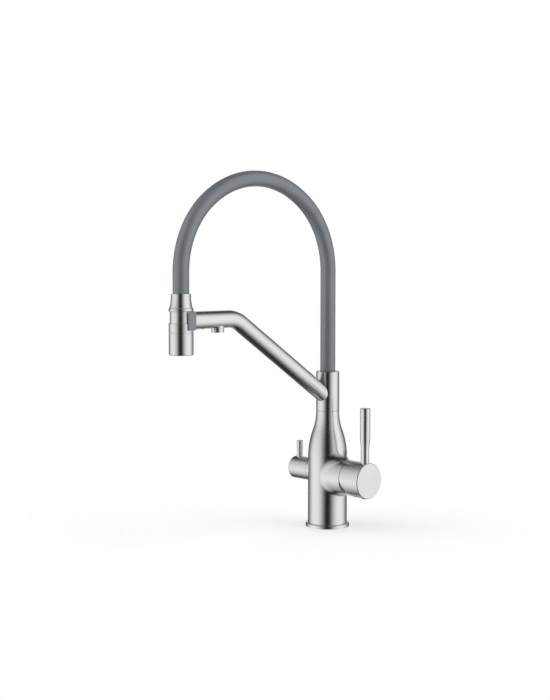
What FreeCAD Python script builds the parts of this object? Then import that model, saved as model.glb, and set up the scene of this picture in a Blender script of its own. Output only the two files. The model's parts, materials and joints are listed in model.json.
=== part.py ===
"""Kitchen mixer tap with a docked spray head and a filtered-water outlet.

The frame's origin is the centre of the base on the worktop, +Z is up and the
spout points along -Y. The mixer handle is on the +X side and the small valve
for filtered water on the -X side. All lengths are in millimetres.
"""

import FreeCAD, Part
import math
import os
import Sketcher

doc = FreeCAD.newDocument("kitchen_mixer_tap")

SIZES = [
    # Base and bottle-shaped body
    ("base_radius", 26.9, "outer radius of the base ring"),
    ("base_height", 4.6, "height of the base ring"),
    ("base_rounding", 1.8, "rounded top edge of the base ring"),
    ("foot_radius", 20.0, "radius of the body's foot inside the base ring"),
    ("foot_recess", 0.6, "how far the foot stays above the worktop"),
    ("seal_groove_inner", 21.6, "inner radius of the groove under the base ring"),
    ("seal_groove_outer", 25.0, "outer radius of the groove under the base ring"),
    ("seal_height", 1.6, "height of the base seal"),
    ("body_radius", 24.0, "radius of the body below its shoulder"),
    ("neck_run", 1.04, "straight run of the neck above the shoulder"),
    ("shoulder_outer_curve", 97.8, "radius of the shoulder's convex curve"),
    ("shoulder_inner_curve", 65.5, "radius of the shoulder's concave curve"),
    ("neck_radius", 14.15, "radius of the neck and of the swivel collar"),
    ("neck_top", 142.4, "height of the seam under the swivel collar"),
    # Mixer side
    ("mixer_height", 63.3, "height of the mixer axis"),
    ("boss_radius", 21.5, "radius of the mixer boss and cap"),
    ("boss_face", 39.7, "distance from the column axis to the boss face"),
    ("boss_top_blend", 3.5, "blend between the boss and the body above and below"),
    ("boss_side_blend", 14.0, "blend between the boss and the body at the boss's sides"),
    ("chamber_radius", 18.0, "radius of the cartridge chamber"),
    ("chamber_depth", 30.7, "depth of the cartridge chamber behind the boss face"),
    ("port_radius", 3.0, "radius of the ports in the cartridge seat"),
    ("inlet_port_side", 8.0, "sideways distance of the inlet ports from the mixer axis"),
    ("inlet_port_drop", 5.5, "drop of the inlet ports below the mixer axis"),
    ("outlet_port_rise", 8.0, "rise of the mixed-water port above the mixer axis"),
    # Water ways and threaded ports in the foot
    ("supply_side", 9.5, "sideways distance of the hot and cold supplies"),
    ("supply_forward", 1.0, "distance of the supplies towards the mixer"),
    ("supply_radius", 3.4, "radius of the supply water ways"),
    ("inlet_thread_radius", 4.5, "core radius of the inlet threads"),
    ("inlet_thread_depth", 14.0, "depth of the inlet threads"),
    ("stud_thread_radius", 3.4, "core radius of the fixing stud's thread"),
    ("stud_thread_depth", 14.0, "depth of the fixing stud's thread"),
    ("stud_offset", 12.5, "distance of the fixing stud from the column axis"),
    ("mixed_way_radius", 3.5, "radius of the mixed water way"),
    ("filter_supply_offset", 12.0, "distance of the filtered supply from the axis"),
    ("filter_way_radius", 2.5, "radius of the filtered supply's water way"),
    ("riser_radius", 1.6, "radius of the filtered water's rising way"),
    # Swivel joint
    ("core_socket_radius", 10.45, "radius of the socket in the neck"),
    ("core_socket_depth", 24.4, "depth of the socket in the neck"),
    ("core_shank_radius", 10.35, "radius of the core's shank in the neck"),
    ("collar_bore_radius", 11.0, "radius of the collar's bore"),
    ("running_gap", 0.06, "radial clearance of a turning fit"),
    ("seam_gap", 0.4, "width of a seam between two bodies"),
    ("fit_gap", 0.1, "clearance between pieces that are fixed together"),
    ("core_rise", 33.6, "height of the core above the neck"),
    ("core_bore_radius", 4.2, "radius of the core's bore"),
    ("riser_offset", 6.6, "distance of the rising way from the column axis"),
    ("riser_end_inset", 1.0, "how far the rising way ends below the gallery's top"),
    ("ring_wire_radius", 0.95, "wire radius of the swivel's seal rings"),
    ("ring_groove_radius", 9.0, "bottom radius of the seal ring grooves"),
    ("ring_groove_width", 2.6, "width of the seal ring grooves"),
    ("ring_low_rise", 4.0, "height of the lower seal ring above the neck"),
    ("ring_middle_rise", 14.8, "height of the middle seal ring above the neck"),
    ("ring_high_rise", 30.8, "height of the upper seal ring above the neck"),
    ("track_rise", 9.4, "height of the track for the collar's screw above the neck"),
    ("track_width", 4.0, "width of that track"),
    ("track_radius", 9.3, "bottom radius of that track"),
    ("gallery_rise", 17.2, "height of the filtered-water gallery above the neck"),
    ("gallery_width", 11.0, "width of the gallery"),
    ("gallery_radius", 7.4, "bottom radius of the gallery"),
    ("washer_radius", 13.9, "outer radius of the swivel washer"),
    # Collar and hose socket
    ("collar_rise", 48.3, "height of the collar's top edge above the neck"),
    ("collar_rim_bevel", 0.5, "bevel on the collar's top edge"),
    ("collar_bore_rise", 36.1, "height of the end of the collar's bore above the neck"),
    ("hose_socket_rise", 39.6, "height of the hose socket's floor above the neck"),
    ("hose_socket_radius", 9.4, "radius of the hose socket"),
    ("nipple_thread_radius", 5.0, "radius of the nipple's thread"),
    ("nipple_flange_radius", 7.0, "radius of the nipple's flange"),
    ("nipple_flange_height", 2.0, "height of the nipple's flange"),
    ("nipple_length", 16.0, "length of the nipple inside the hose"),
    ("collar_screw_radius", 2.0, "radius of the collar's set screw"),
    ("collar_screw_length", 4.4, "length of the collar's set screw"),
    # Arm
    ("arm_radius", 10.0, "radius of the arm tube"),
    ("arm_wall", 1.5, "wall of the arm tube"),
    ("arm_root_rise", 14.9, "height above the neck at which the slanted run meets the column axis"),
    ("arm_height", 259.7, "height of the axis of the arm's level run"),
    ("nozzle_corner_gap", 25.7, "distance from the nozzle back to the corner between the two runs"),
    ("arm_bend_radius", 34.0, "bend radius of the arm's axis"),
    ("arm_end_gap", 13.45, "distance from the head's axis to the arm tube's open end"),
    ("water_tube_radius", 3.175, "radius of the filtered-water tube"),
    ("water_tube_bore", 2.2, "bore radius of the filtered-water tube"),
    ("nozzle_screw_gap", 22.3, "distance from the dock's screw back to the nozzle"),
    ("nozzle_radius", 7.3, "radius of the filtered-water nozzle"),
    ("nozzle_drop", 4.7, "how far the nozzle stands below the arm"),
    ("nozzle_bore", 5.6, "bore radius of the nozzle"),
    ("aerator_height", 3.6, "height of the nozzle's insert"),
    ("aerator_inset", 0.6, "how far the nozzle's insert stays inside"),
    ("elbow_length", 16.0, "length of the elbow block inside the arm"),
    ("elbow_way_radius", 2.6, "radius of the water way in the elbow block"),
    # Dock
    ("dock_radius", 16.8, "outer radius of the dock's cradle"),
    ("dock_neck_room", 13.0, "half width of the cradle round the head's neck"),
    ("dock_barrel_room", 14.1, "half width of the cradle round the head's barrel"),
    ("dock_horn", 1.2, "how far the cradle reaches past the head's axis"),
    ("dock_spigot_length", 22.0, "length of the dock's spigot in the arm"),
    ("dock_screw_inset", 17.3, "distance of the screw that holds the dock from the arm's end"),
    ("dock_screw_radius", 2.0, "radius of that screw"),
    ("dock_screw_length", 4.6, "length of that screw"),
    ("dock_screw_stand", 0.3, "how far that screw stands out of the arm"),
    # Spray head
    ("head_reach", 229.75, "reach of the head's axis"),
    ("barrel_radius", 13.75, "radius of the head's barrel"),
    ("spray_ring_height", 25.1, "height of the spray ring below the seam"),
    ("barrel_height", 10.2, "height of the barrel above the seam"),
    ("head_drop", 2.4, "drop of the barrel's shoulder below the arm's axis"),
    ("barrel_edge", 1.3, "rounding of the barrel's bottom edge"),
    ("shoulder_edge", 0.6, "rounding of the barrel's shoulder"),
    ("head_neck_radius", 12.5, "radius of the head's neck"),
    ("head_neck_height", 12.8, "height of the head's neck"),
    ("ferrule_lip_radius", 13.8, "radius of the ferrule's flared lip"),
    ("ferrule_lip_bevel", 1.2, "bevel under the ferrule's lip"),
    ("ferrule_lip_height", 3.0, "height of the ferrule's lip"),
    ("ferrule_waist_radius", 13.2, "radius of the ferrule just above its lip"),
    ("ferrule_top_radius", 11.15, "radius of the ferrule's top edge"),
    ("ferrule_height", 19.5, "height of the ferrule"),
    ("ferrule_curve", 52.0, "radius of the ferrule's hollow flank"),
    ("head_thread_radius", 8.1, "radius of the thread between head and ferrule"),
    ("head_thread_length", 8.0, "length of that thread"),
    ("head_bore_radius", 6.2, "radius of the head's upper bore"),
    ("head_bore_depth", 7.6, "depth of the upper bore below the top of the neck"),
    ("valve_bore_radius", 5.1, "radius of the check valve's seat"),
    ("ring_spigot_radius", 11.5, "radius of the spigot that carries the spray ring"),
    ("ring_spigot_length", 11.1, "length of the spigot below the seam"),
    ("spray_wall", 1.9, "wall of the spray ring"),
    ("spray_inset", 1.0, "how far the spray face stays above the bottom edge"),
    ("spray_thickness", 2.4, "thickness of the spray face"),
    ("spray_hole_radius", 0.55, "radius of a spray hole"),
    ("spray_circle_radius", 9.4, "radius of the circle of spray holes"),
    ("head_aerator_radius", 6.2, "radius of the head's aerator insert"),
    ("head_aerator_height", 8.0, "height of the head's aerator insert"),
    # Hose
    ("hose_radius", 9.15, "outer radius of the hose sleeve"),
    ("hose_sleeve_bore", 7.6, "bore radius of the hose sleeve"),
    ("inner_hose_radius", 7.45, "outer radius of the inner hose"),
    ("inner_hose_bore", 5.9, "bore radius of the inner hose"),
    ("hose_leg", 32.6, "length of the hose's upright leg above the head"),
    ("hose_rise", 107.4, "rise of the arch's axis above its start"),
    ("hose_side_turn", 50.0, "angle turned by each side arc of the arch"),
    ("hose_end_gap", 1.9, "distance from the head's thread to the hose's end"),
    ("tail_radius", 5.8, "radius of the fitting's tail inside the hose"),
    ("tail_length", 18.0, "length of the tail inside the hose"),
    # Cartridge
    ("cartridge_radius", 17.5, "outer radius of the cartridge"),
    ("cartridge_wall", 1.9, "wall of the cartridge"),
    ("cartridge_length", 23.0, "length of the cartridge up to its shoulder"),
    ("cartridge_neck_radius", 12.0, "outer radius of the cartridge's neck"),
    ("cartridge_neck_length", 6.0, "length of the cartridge's neck"),
    ("disc_thickness", 3.5, "thickness of a ceramic disc"),
    ("cartridge_base_thickness", 3.0, "thickness of the cartridge's base"),
    ("disc_radius", 14.5, "radius of the fixed ceramic disc"),
    ("moving_disc_radius", 13.0, "radius of the moving ceramic disc"),
    ("disc_rest_drop", 1.75, "drop of the moving disc's centre when closed"),
    ("rotor_inset", 6.0, "distance of the rotor's flange inside the cartridge's shoulder"),
    ("rotor_flange_thickness", 4.3, "thickness of the rotor's flange"),
    ("rotor_flange_radius", 15.3, "radius of the rotor's flange"),
    ("rotor_neck_radius", 9.7, "radius of the rotor's neck"),
    ("rotor_stand", 2.0, "how far the rotor stands out of the cartridge's neck"),
    ("pivot_inset", 2.0, "distance of the stem's pivot inside the neck's end"),
    ("pivot_radius", 1.25, "radius of the stem's pivot pin"),
    ("pivot_seat_gap", 0.02, "radial clearance of the pivot pin in the rotor"),
    ("stem_side", 7.0, "side of the square stem"),
    ("stem_slot_length", 12.6, "length of the rotor's slot for the stem"),
    ("stem_tail_radius", 2.2, "radius of the stem's tail"),
    ("stem_ball_radius", 3.4, "radius of the ball on the stem's tail"),
    ("stem_ball_lever", 8.5, "distance from the pivot to the ball"),
    ("ball_room", 0.2, "clearance round the ball"),
    ("carrier_boss_side", 11.0, "side of the carrier's square boss"),
    ("carrier_boss_inset", 3.5, "how far the carrier's boss reaches into the rotor"),
    ("carrier_travel", 3.7, "travel of the disc carrier"),
    ("nut_radius", 17.9, "radius of the retaining nut"),
    ("nut_slot_width", 3.58, "width of the slots across the nut's face"),
    ("nut_slot_depth", 1.0, "depth of the slots across the nut's face"),
    ("nut_stand", 0.2, "how far the retaining nut stands past the cartridge's neck"),
    ("bell_radius", 13.8, "radius of the trim bell's dome about the pivot"),
    ("bell_wall", 1.0, "wall of the trim bell"),
    ("bell_opening", 10.8, "radius of the trim bell's opening"),
    # Mixer cap and lever
    ("cap_reach", 34.0, "distance of the cap's face from the stem's pivot"),
    ("cap_wall", 3.0, "wall of the cap"),
    ("cap_rim_gap", 0.7, "gap between the cap's rim and the boss face"),
    ("cap_face_thickness", 5.0, "thickness of the cap's face"),
    ("cap_bevel", 0.6, "bevel round the cap's face"),
    ("cap_wedge", 27.0, "slant of the cut on the cap's lower half"),
    ("cap_hub_radius", 7.5, "radius of the hub inside the cap"),
    ("cap_hub_reach", 15.5, "distance of the start of that hub from the pivot"),
    ("stem_reach", 29.2, "distance of the stem's outer end from the pivot"),
    ("lever_reach", 26.8, "distance of the lever pin from the pivot"),
    ("lever_foot_radius", 5.0, "radius of the lever pin's foot"),
    ("lever_top_radius", 6.15, "radius of the lever pin's upper part"),
    ("lever_foot_height", 38.9, "height of the start of the lever pin's taper above the mixer axis"),
    ("lever_taper_height", 11.3, "height of the lever pin's taper"),
    ("lever_rise", 87.0, "height of the lever pin's top above the mixer axis"),
    ("lever_top_bevel", 0.6, "bevel on the lever pin's top"),
    ("lever_seat", 17.0, "distance of the lever pin's seat from the mixer axis"),
    ("lever_thread_radius", 3.0, "radius of the lever pin's thread"),
    ("lever_thread_end", 10.0, "distance of the thread's end from the mixer axis"),
    ("cap_pad_radius", 6.6, "radius of the pad under the lever pin"),
    ("grub_reach", 25.5, "distance of the cap's grub screw from the pivot"),
    ("grub_radius", 2.45, "radius of the cap's grub screw"),
    ("grub_length", 9.0, "length of the cap's grub screw"),
    ("grub_key_depth", 3.6, "depth of the key's socket in the cap's grub screw"),
    ("plug_radius", 2.9, "radius of the plug over the grub screw"),
    ("plug_inner", 17.0, "distance of the plug's inner end from the mixer axis"),
    ("plug_stand", 0.8, "how far the plug stands out of the cap"),
    # Valve for filtered water
    ("valve_height", 66.5, "height of the valve's axis"),
    ("hub_radius", 14.0, "radius of the valve's hub and boss"),
    ("valve_boss_face", 24.6, "distance of the valve boss's face from the axis"),
    ("hub_length", 31.4, "distance from the valve boss's face to the hub's end"),
    ("hub_edge", 1.6, "rounding of the hub's end"),
    ("hub_cavity_radius", 11.7, "radius of the hollow in the hub"),
    ("hub_cavity_depth", 13.4, "distance from the boss's face to the end of that hollow"),
    ("valve_bore_inset", 4.5, "distance of the bore's floor inside the seat of the discs"),
    ("valve_shell_radius", 8.0, "radius of the valve's shell"),
    ("valve_nose_radius", 5.0, "radius of the shell's nose in the incoming water"),
    ("valve_floor_gap", 1.0, "gap between the shell's nose and the floor of its bore"),
    ("valve_nose_inset", 1.5, "distance of the nose's shoulder inside the seat of the discs"),
    ("valve_disc_depth", 12.1, "depth of the seat of the valve's discs behind the boss's face"),
    ("valve_chamber_radius", 5.6, "radius of the shell's chamber"),
    ("valve_chamber_inset", 0.6, "distance of the chamber's end inside the boss's face"),
    ("valve_flange_radius", 10.4, "half width of the shell's hexagon"),
    ("valve_flange_length", 4.9, "length of the shell's hexagon"),
    ("valve_neck_radius", 6.6, "radius of the shell's neck"),
    ("valve_neck_length", 10.4, "distance from the boss's face to the neck's end"),
    ("valve_inlet_radius", 3.0, "radius of the shell's inlet"),
    ("valve_window_depth", 4.1, "depth of the shell's outlet window behind the boss's face"),
    ("valve_window_radius", 1.9, "radius of the shell's outlet window"),
    ("small_disc_thickness", 2.5, "thickness of the valve's ceramic discs"),
    ("small_disc_hole", 1.5, "radius of the holes in those discs"),
    ("small_disc_pitch", 3.0, "distance of those holes from the valve's axis"),
    ("spindle_radius", 4.0, "radius of the valve's spindle"),
    ("spindle_head_radius", 5.3, "radius of the spindle's head"),
    ("spindle_waist_radius", 2.8, "radius of the spindle's waist"),
    ("spindle_inset", 4.0, "distance of the spindle's end inside the hub's end"),
    ("shell_ring_offset", 3.4, "distance of the shell's seal ring from the seat of the discs"),
    ("shell_ring_wire", 0.75, "wire radius of the shell's seal ring"),
    ("pin_inset", 7.3, "distance of the valve's pin inside the hub's end"),
    ("pin_radius", 3.75, "radius of the valve's pin"),
    ("pin_rise", 34.0, "height of the top of the valve's pin above the valve's axis"),
    ("pin_bevel", 0.4, "bevel on the top of the valve's pin"),
    ("pin_seat", 9.5, "distance of the pin's seat from the valve's axis"),
    ("pin_thread_radius", 2.0, "radius of the pin's thread"),
    ("pin_thread_end", 5.0, "distance of the thread's end from the valve's axis"),
    ("hub_screw_inset", 11.5, "distance of the hub's grub screw inside the hub's end"),
    ("hub_screw_radius", 2.0, "radius of the hub's grub screw"),
    ("hub_screw_length", 7.0, "length of the hub's grub screw"),
    ("hub_key_depth", 2.8, "depth of the key's socket in the hub's grub screw"),
]

SPRAY_HOLES = 12
NUT_SLOTS = 6
LEFT = 1
RIGHT = -1
RIGHT_ANGLE = 90
# Cutters pass the faces that they open, and joined shapes reach into each other, by this.
OVERRUN = 1
# Two faces meet where they lie this near to each other.
MEETING = 0.01


class Size:
    """A number together with the sheet expression that gives it."""

    def __init__(self, value, text):
        self.value = value
        self.text = text

    def __add__(self, other):
        other = as_size(other)
        return Size(self.value + other.value, f"({self.text} + {other.text})")

    def __sub__(self, other):
        other = as_size(other)
        return Size(self.value - other.value, f"({self.text} - {other.text})")

    def __mul__(self, other):
        other = as_size(other)
        return Size(self.value * other.value, f"({self.text} * {other.text})")

    def __truediv__(self, other):
        other = as_size(other)
        return Size(self.value / other.value, f"({self.text} / {other.text})")

    def __radd__(self, other):
        return as_size(other) + self

    def __rsub__(self, other):
        return as_size(other) - self

    def __rmul__(self, other):
        return as_size(other) * self

    def __neg__(self):
        return Size(-self.value, f"(0 - {self.text})")


def as_size(number):
    if isinstance(number, Size):
        return number
    return Size(float(number), f"{float(number):.6g}")


def sine(angle):
    return Size(math.sin(math.radians(angle.value)), f"sin({angle.text})")


def cosine(angle):
    return Size(math.cos(math.radians(angle.value)), f"cos({angle.text})")


def tangent(angle):
    return Size(math.tan(math.radians(angle.value)), f"tan({angle.text})")


def arc_tangent(ratio):
    return Size(math.degrees(math.atan(ratio.value)), f"(atan({ratio.text}) / (1 deg))")


def root(square):
    return Size(math.sqrt(square.value), f"sqrt({square.text})")


def leg(long_side, short_side):
    """The other short side of a right triangle."""
    return root(long_side * long_side - short_side * short_side)


class Dimensions:
    """The driving dimensions, one attribute for each cell of the sheet."""


def fill_sheet():
    sheet = doc.addObject("Spreadsheet::Sheet", "Sizes")
    named = Dimensions()
    for row, (alias, number, meaning) in enumerate(SIZES, start=1):
        sheet.set(f"A{row}", alias)
        sheet.set(f"B{row}", str(number))
        sheet.set(f"C{row}", meaning)
        sheet.setAlias(f"B{row}", alias)
        setattr(named, alias, Size(float(number), f"Sizes.{alias}"))
    doc.recompute()
    return named


d = fill_sheet()


def add_places():
    """Heights, reaches and distances that follow from the sizes."""
    both_curves = d.shoulder_outer_curve + d.shoulder_inner_curve
    d.shoulder_rise = leg(both_curves, both_curves - d.body_radius + d.neck_radius)
    d.shoulder_start = d.neck_top - d.neck_run - d.shoulder_rise

    d.ring_low_height = d.neck_top + d.ring_low_rise
    d.track_height = d.neck_top + d.track_rise
    d.ring_middle_height = d.neck_top + d.ring_middle_rise
    d.gallery_low = d.neck_top + d.gallery_rise
    d.gallery_high = d.gallery_low + d.gallery_width
    d.ring_high_height = d.neck_top + d.ring_high_rise
    d.core_top = d.neck_top + d.core_rise
    d.collar_bore_top = d.neck_top + d.collar_bore_rise
    d.hose_socket_floor = d.neck_top + d.hose_socket_rise
    d.collar_top = d.neck_top + d.collar_rise

    d.arm_end_reach = d.head_reach - d.arm_end_gap
    d.dock_screw_reach = d.arm_end_reach - d.dock_screw_inset
    d.nozzle_reach = d.dock_screw_reach - d.nozzle_screw_gap
    d.arm_corner_reach = d.nozzle_reach - d.nozzle_corner_gap
    d.arm_root_height = d.neck_top + d.arm_root_rise
    d.arm_slope = arc_tangent((d.arm_height - d.arm_root_height) / d.arm_corner_reach)

    d.barrel_top = d.arm_height - d.head_drop
    d.barrel_seam = d.barrel_top - d.barrel_height
    d.barrel_bottom = d.barrel_seam - d.spray_ring_height
    d.ring_spigot_bottom = d.barrel_seam - d.ring_spigot_length
    d.head_neck_top = d.barrel_top + d.head_neck_height
    d.head_bore_floor = d.head_neck_top - d.head_bore_depth
    d.ferrule_top = d.head_neck_top + d.ferrule_height
    d.hose_end_height = d.head_neck_top + d.head_thread_length + d.hose_end_gap
    d.hose_spring_height = d.hose_end_height + d.hose_leg
    d.tail_top = d.hose_end_height + d.tail_length

    d.chamber_seat = d.boss_face - d.chamber_depth
    d.cartridge_end = d.chamber_seat + d.cartridge_length
    d.cartridge_neck_end = d.cartridge_end + d.cartridge_neck_length
    d.rotor_start = d.cartridge_end - d.rotor_inset
    d.rotor_flange_end = d.rotor_start + d.rotor_flange_thickness
    d.rotor_end = d.cartridge_neck_end + d.rotor_stand
    d.carrier_boss_end = d.rotor_start + d.carrier_boss_inset
    d.nut_end = d.cartridge_neck_end + d.nut_stand
    d.pivot_distance = d.cartridge_neck_end - d.pivot_inset
    d.cap_hub_start = d.pivot_distance + d.cap_hub_reach
    d.grub_distance = d.pivot_distance + d.grub_reach
    d.lever_distance = d.pivot_distance + d.lever_reach
    d.stem_end = d.pivot_distance + d.stem_reach
    d.cap_face = d.pivot_distance + d.cap_reach
    d.lever_taper_start = d.mixer_height + d.lever_foot_height
    d.lever_taper_end = d.lever_taper_start + d.lever_taper_height
    d.lever_top = d.mixer_height + d.lever_rise

    d.valve_disc_seat = d.valve_boss_face - d.valve_disc_depth
    d.valve_bore_start = d.valve_disc_seat - d.valve_bore_inset
    d.valve_nose_end = d.valve_disc_seat - d.valve_nose_inset
    d.shell_ring_distance = d.valve_disc_seat + d.shell_ring_offset
    d.valve_window_distance = d.valve_boss_face - d.valve_window_depth
    d.valve_chamber_end = d.valve_boss_face - d.valve_chamber_inset
    d.valve_flange_end = d.valve_boss_face + d.valve_flange_length
    d.valve_neck_end = d.valve_boss_face + d.valve_neck_length
    d.hub_cavity_end = d.valve_boss_face + d.hub_cavity_depth
    d.hub_end = d.valve_boss_face + d.hub_length
    d.hub_screw_distance = d.hub_end - d.hub_screw_inset
    d.pin_distance = d.hub_end - d.pin_inset
    d.spindle_end = d.hub_end - d.spindle_inset
    d.pin_top = d.valve_height + d.pin_rise


add_places()
subparts = []


def bind(thing, path, size):
    thing.setExpression(path, as_size(size).text)


def place(thing, base, rotation=None):
    """Puts a thing at a bound point, after an optional fixed rotation."""
    thing.Placement = FreeCAD.Placement(
        FreeCAD.Vector(*[as_size(c).value for c in base]), rotation or FreeCAD.Rotation()
    )
    for letter, coordinate in zip("xyz", base):
        bind(thing, f"Placement.Base.{letter}", coordinate)


def keep(thing, label):
    """Marks a thing as a sub-part under the name of its file."""
    thing.Label = label
    subparts.append(thing)
    return thing


ALONG_X = FreeCAD.Rotation(FreeCAD.Vector(0, 1, 0), 90)
ALONG_Y = FreeCAD.Rotation(FreeCAD.Vector(1, 0, 0), -90)
ALONG_Z = FreeCAD.Rotation()
QUARTER_TURN = FreeCAD.Rotation(FreeCAD.Vector(0, 0, 1), 90)
HALF_TURN = FreeCAD.Rotation(FreeCAD.Vector(0, 0, 1), 180)
SPOUT_PLANE = FreeCAD.Rotation(
    FreeCAD.Vector(0, -1, 0), FreeCAD.Vector(0, 0, 1), FreeCAD.Vector(-1, 0, 0)
)


def rod(name, radius, length, base, direction=ALONG_Z):
    thing = doc.addObject("Part::Cylinder", name)
    bind(thing, "Radius", radius)
    bind(thing, "Height", length)
    place(thing, base, direction)
    return thing


def block(name, lengths, base):
    thing = doc.addObject("Part::Box", name)
    for side, length in zip(("Length", "Width", "Height"), lengths):
        bind(thing, side, length)
    place(thing, base)
    return thing


def ring(name, radius, wire, base, direction=ALONG_Z):
    thing = doc.addObject("Part::Torus", name)
    bind(thing, "Radius1", radius)
    bind(thing, "Radius2", wire)
    place(thing, base, direction)
    return thing


def join(name, *things):
    thing = doc.addObject("Part::MultiFuse", name)
    thing.Shapes = list(things)
    thing.Refine = True
    return thing


def cut(name, base, *tools):
    thing = doc.addObject("Part::Cut", name)
    thing.Base = base
    thing.Tool = tools[0] if len(tools) == 1 else join(name + "_tools", *tools)
    return thing


def trace(sketch, outline, closed=True):
    """Draws an outline of lines and arcs, each corner bound to the sheet.

    A corner is (across, up) when a line leads to it, or (across, up, radius,
    side) when an arc does, with its centre LEFT or RIGHT of the way along.
    """
    points = [FreeCAD.Vector(as_size(c[0]).value, as_size(c[1]).value, 0) for c in outline]
    first = 0 if closed else 1
    edges = []
    for index in range(first, len(outline)):
        start = points[index - 1]
        end = points[index]
        corner = outline[index]
        if len(corner) == 2:
            number = sketch.addGeometry(Part.LineSegment(start, end))
            edges.append((number, 1, 2, index, None))
            continue
        radius = as_size(corner[2])
        side = corner[3]
        half = (end - start) * 0.5
        across = FreeCAD.Vector(-half.y, half.x, 0).normalize()
        centre = start + half + across * side * math.sqrt(radius.value**2 - half.Length**2)
        circle = Part.Circle(centre, FreeCAD.Vector(0, 0, 1), radius.value)
        begin, finish = (start, end) if side == LEFT else (end, start)
        arc = Part.ArcOfCircle(circle, circle.parameter(begin), circle.parameter(finish))
        number = sketch.addGeometry(arc)
        order = (1, 2) if side == LEFT else (2, 1)
        edges.append((number, order[0], order[1], index, radius))
    for here, after in zip(edges, edges[1:] + edges[:1] if closed else edges[1:]):
        sketch.addConstraint(
            Sketcher.Constraint("Coincident", here[0], here[2], after[0], after[1])
        )
    ends = [(number, finish, index) for number, begin, finish, index, radius in edges]
    if not closed:
        ends.insert(0, (edges[0][0], edges[0][1], 0))
    for number, finish, index in ends:
        for kind, coordinate in zip(("DistanceX", "DistanceY"), outline[index][:2]):
            fix(sketch, Sketcher.Constraint(
                kind, -1, 1, number, finish, as_size(coordinate).value), coordinate)
    for number, begin, finish, index, radius in edges:
        if radius is not None:
            fix(sketch, Sketcher.Constraint("Radius", number, radius.value), radius)
    return [number for number, begin, finish, index, radius in edges]


def fix(sketch, constraint, size):
    number = sketch.addConstraint(constraint)
    bind(sketch, f"Constraints[{number}]", size)


def turned(name, axis, outline, base=(0, 0, 0), rotation=None):
    """A solid turned about X, with corners (along, radius), or about Z, with corners (radius, up)."""
    body = doc.addObject("PartDesign::Body", name)
    sketch = body.newObject("Sketcher::SketchObject", name + "_outline")
    plane = [p for p in body.Origin.OriginFeatures if p.Role == "XZ_Plane"][0]
    sketch.AttachmentSupport = (plane, [""])
    sketch.MapMode = "FlatFace"
    trace(sketch, outline)
    revolution = body.newObject("PartDesign::Revolution", name + "_turned")
    revolution.Profile = sketch
    revolution.ReferenceAxis = (sketch, ["H_Axis" if axis == "X" else "V_Axis"])
    revolution.Angle = 360
    place(body, base, rotation)
    return body


def route(name, points):
    """An open path in the spout's plane, with corners (reach, up)."""
    sketch = doc.addObject("Sketcher::SketchObject", name)
    edges = trace(sketch, points, closed=False)
    sketch.Placement = FreeCAD.Placement(FreeCAD.Vector(), SPOUT_PLANE)
    return sketch, [f"Edge{number + 1}" for number in edges]


def swept(name, radius, path, base, direction):
    """A round bar along a path, from a circle at the path's start."""
    circle = doc.addObject("Part::Circle", name + "_section")
    bind(circle, "Radius", radius)
    place(circle, base, direction)
    sweep = doc.addObject("Part::Sweep", name)
    sweep.Sections = [circle]
    sweep.Spine = path
    sweep.Solid = True
    return sweep


def make_base():
    """Base ring and its seal."""
    ring_bore = d.foot_radius + d.fit_gap
    flange = turned("flange", "Z", [
        (ring_bore, 0),
        (d.seal_groove_inner, 0),
        (d.seal_groove_inner, d.seal_height),
        (d.seal_groove_outer, d.seal_height),
        (d.seal_groove_outer, 0),
        (d.base_radius, 0),
        (d.base_radius, d.base_height - d.base_rounding),
        (d.base_radius - d.base_rounding, d.base_height, d.base_rounding, LEFT),
        (ring_bore, d.base_height),
    ])
    keep(flange, "base_flange")
    seal = turned("seal", "Z", [
        (d.seal_groove_inner + d.fit_gap, 0),
        (d.seal_groove_outer - d.fit_gap, 0),
        (d.seal_groove_outer - d.fit_gap, d.seal_height),
        (d.seal_groove_inner + d.fit_gap, d.seal_height),
    ])
    keep(seal, "base_seal")


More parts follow.
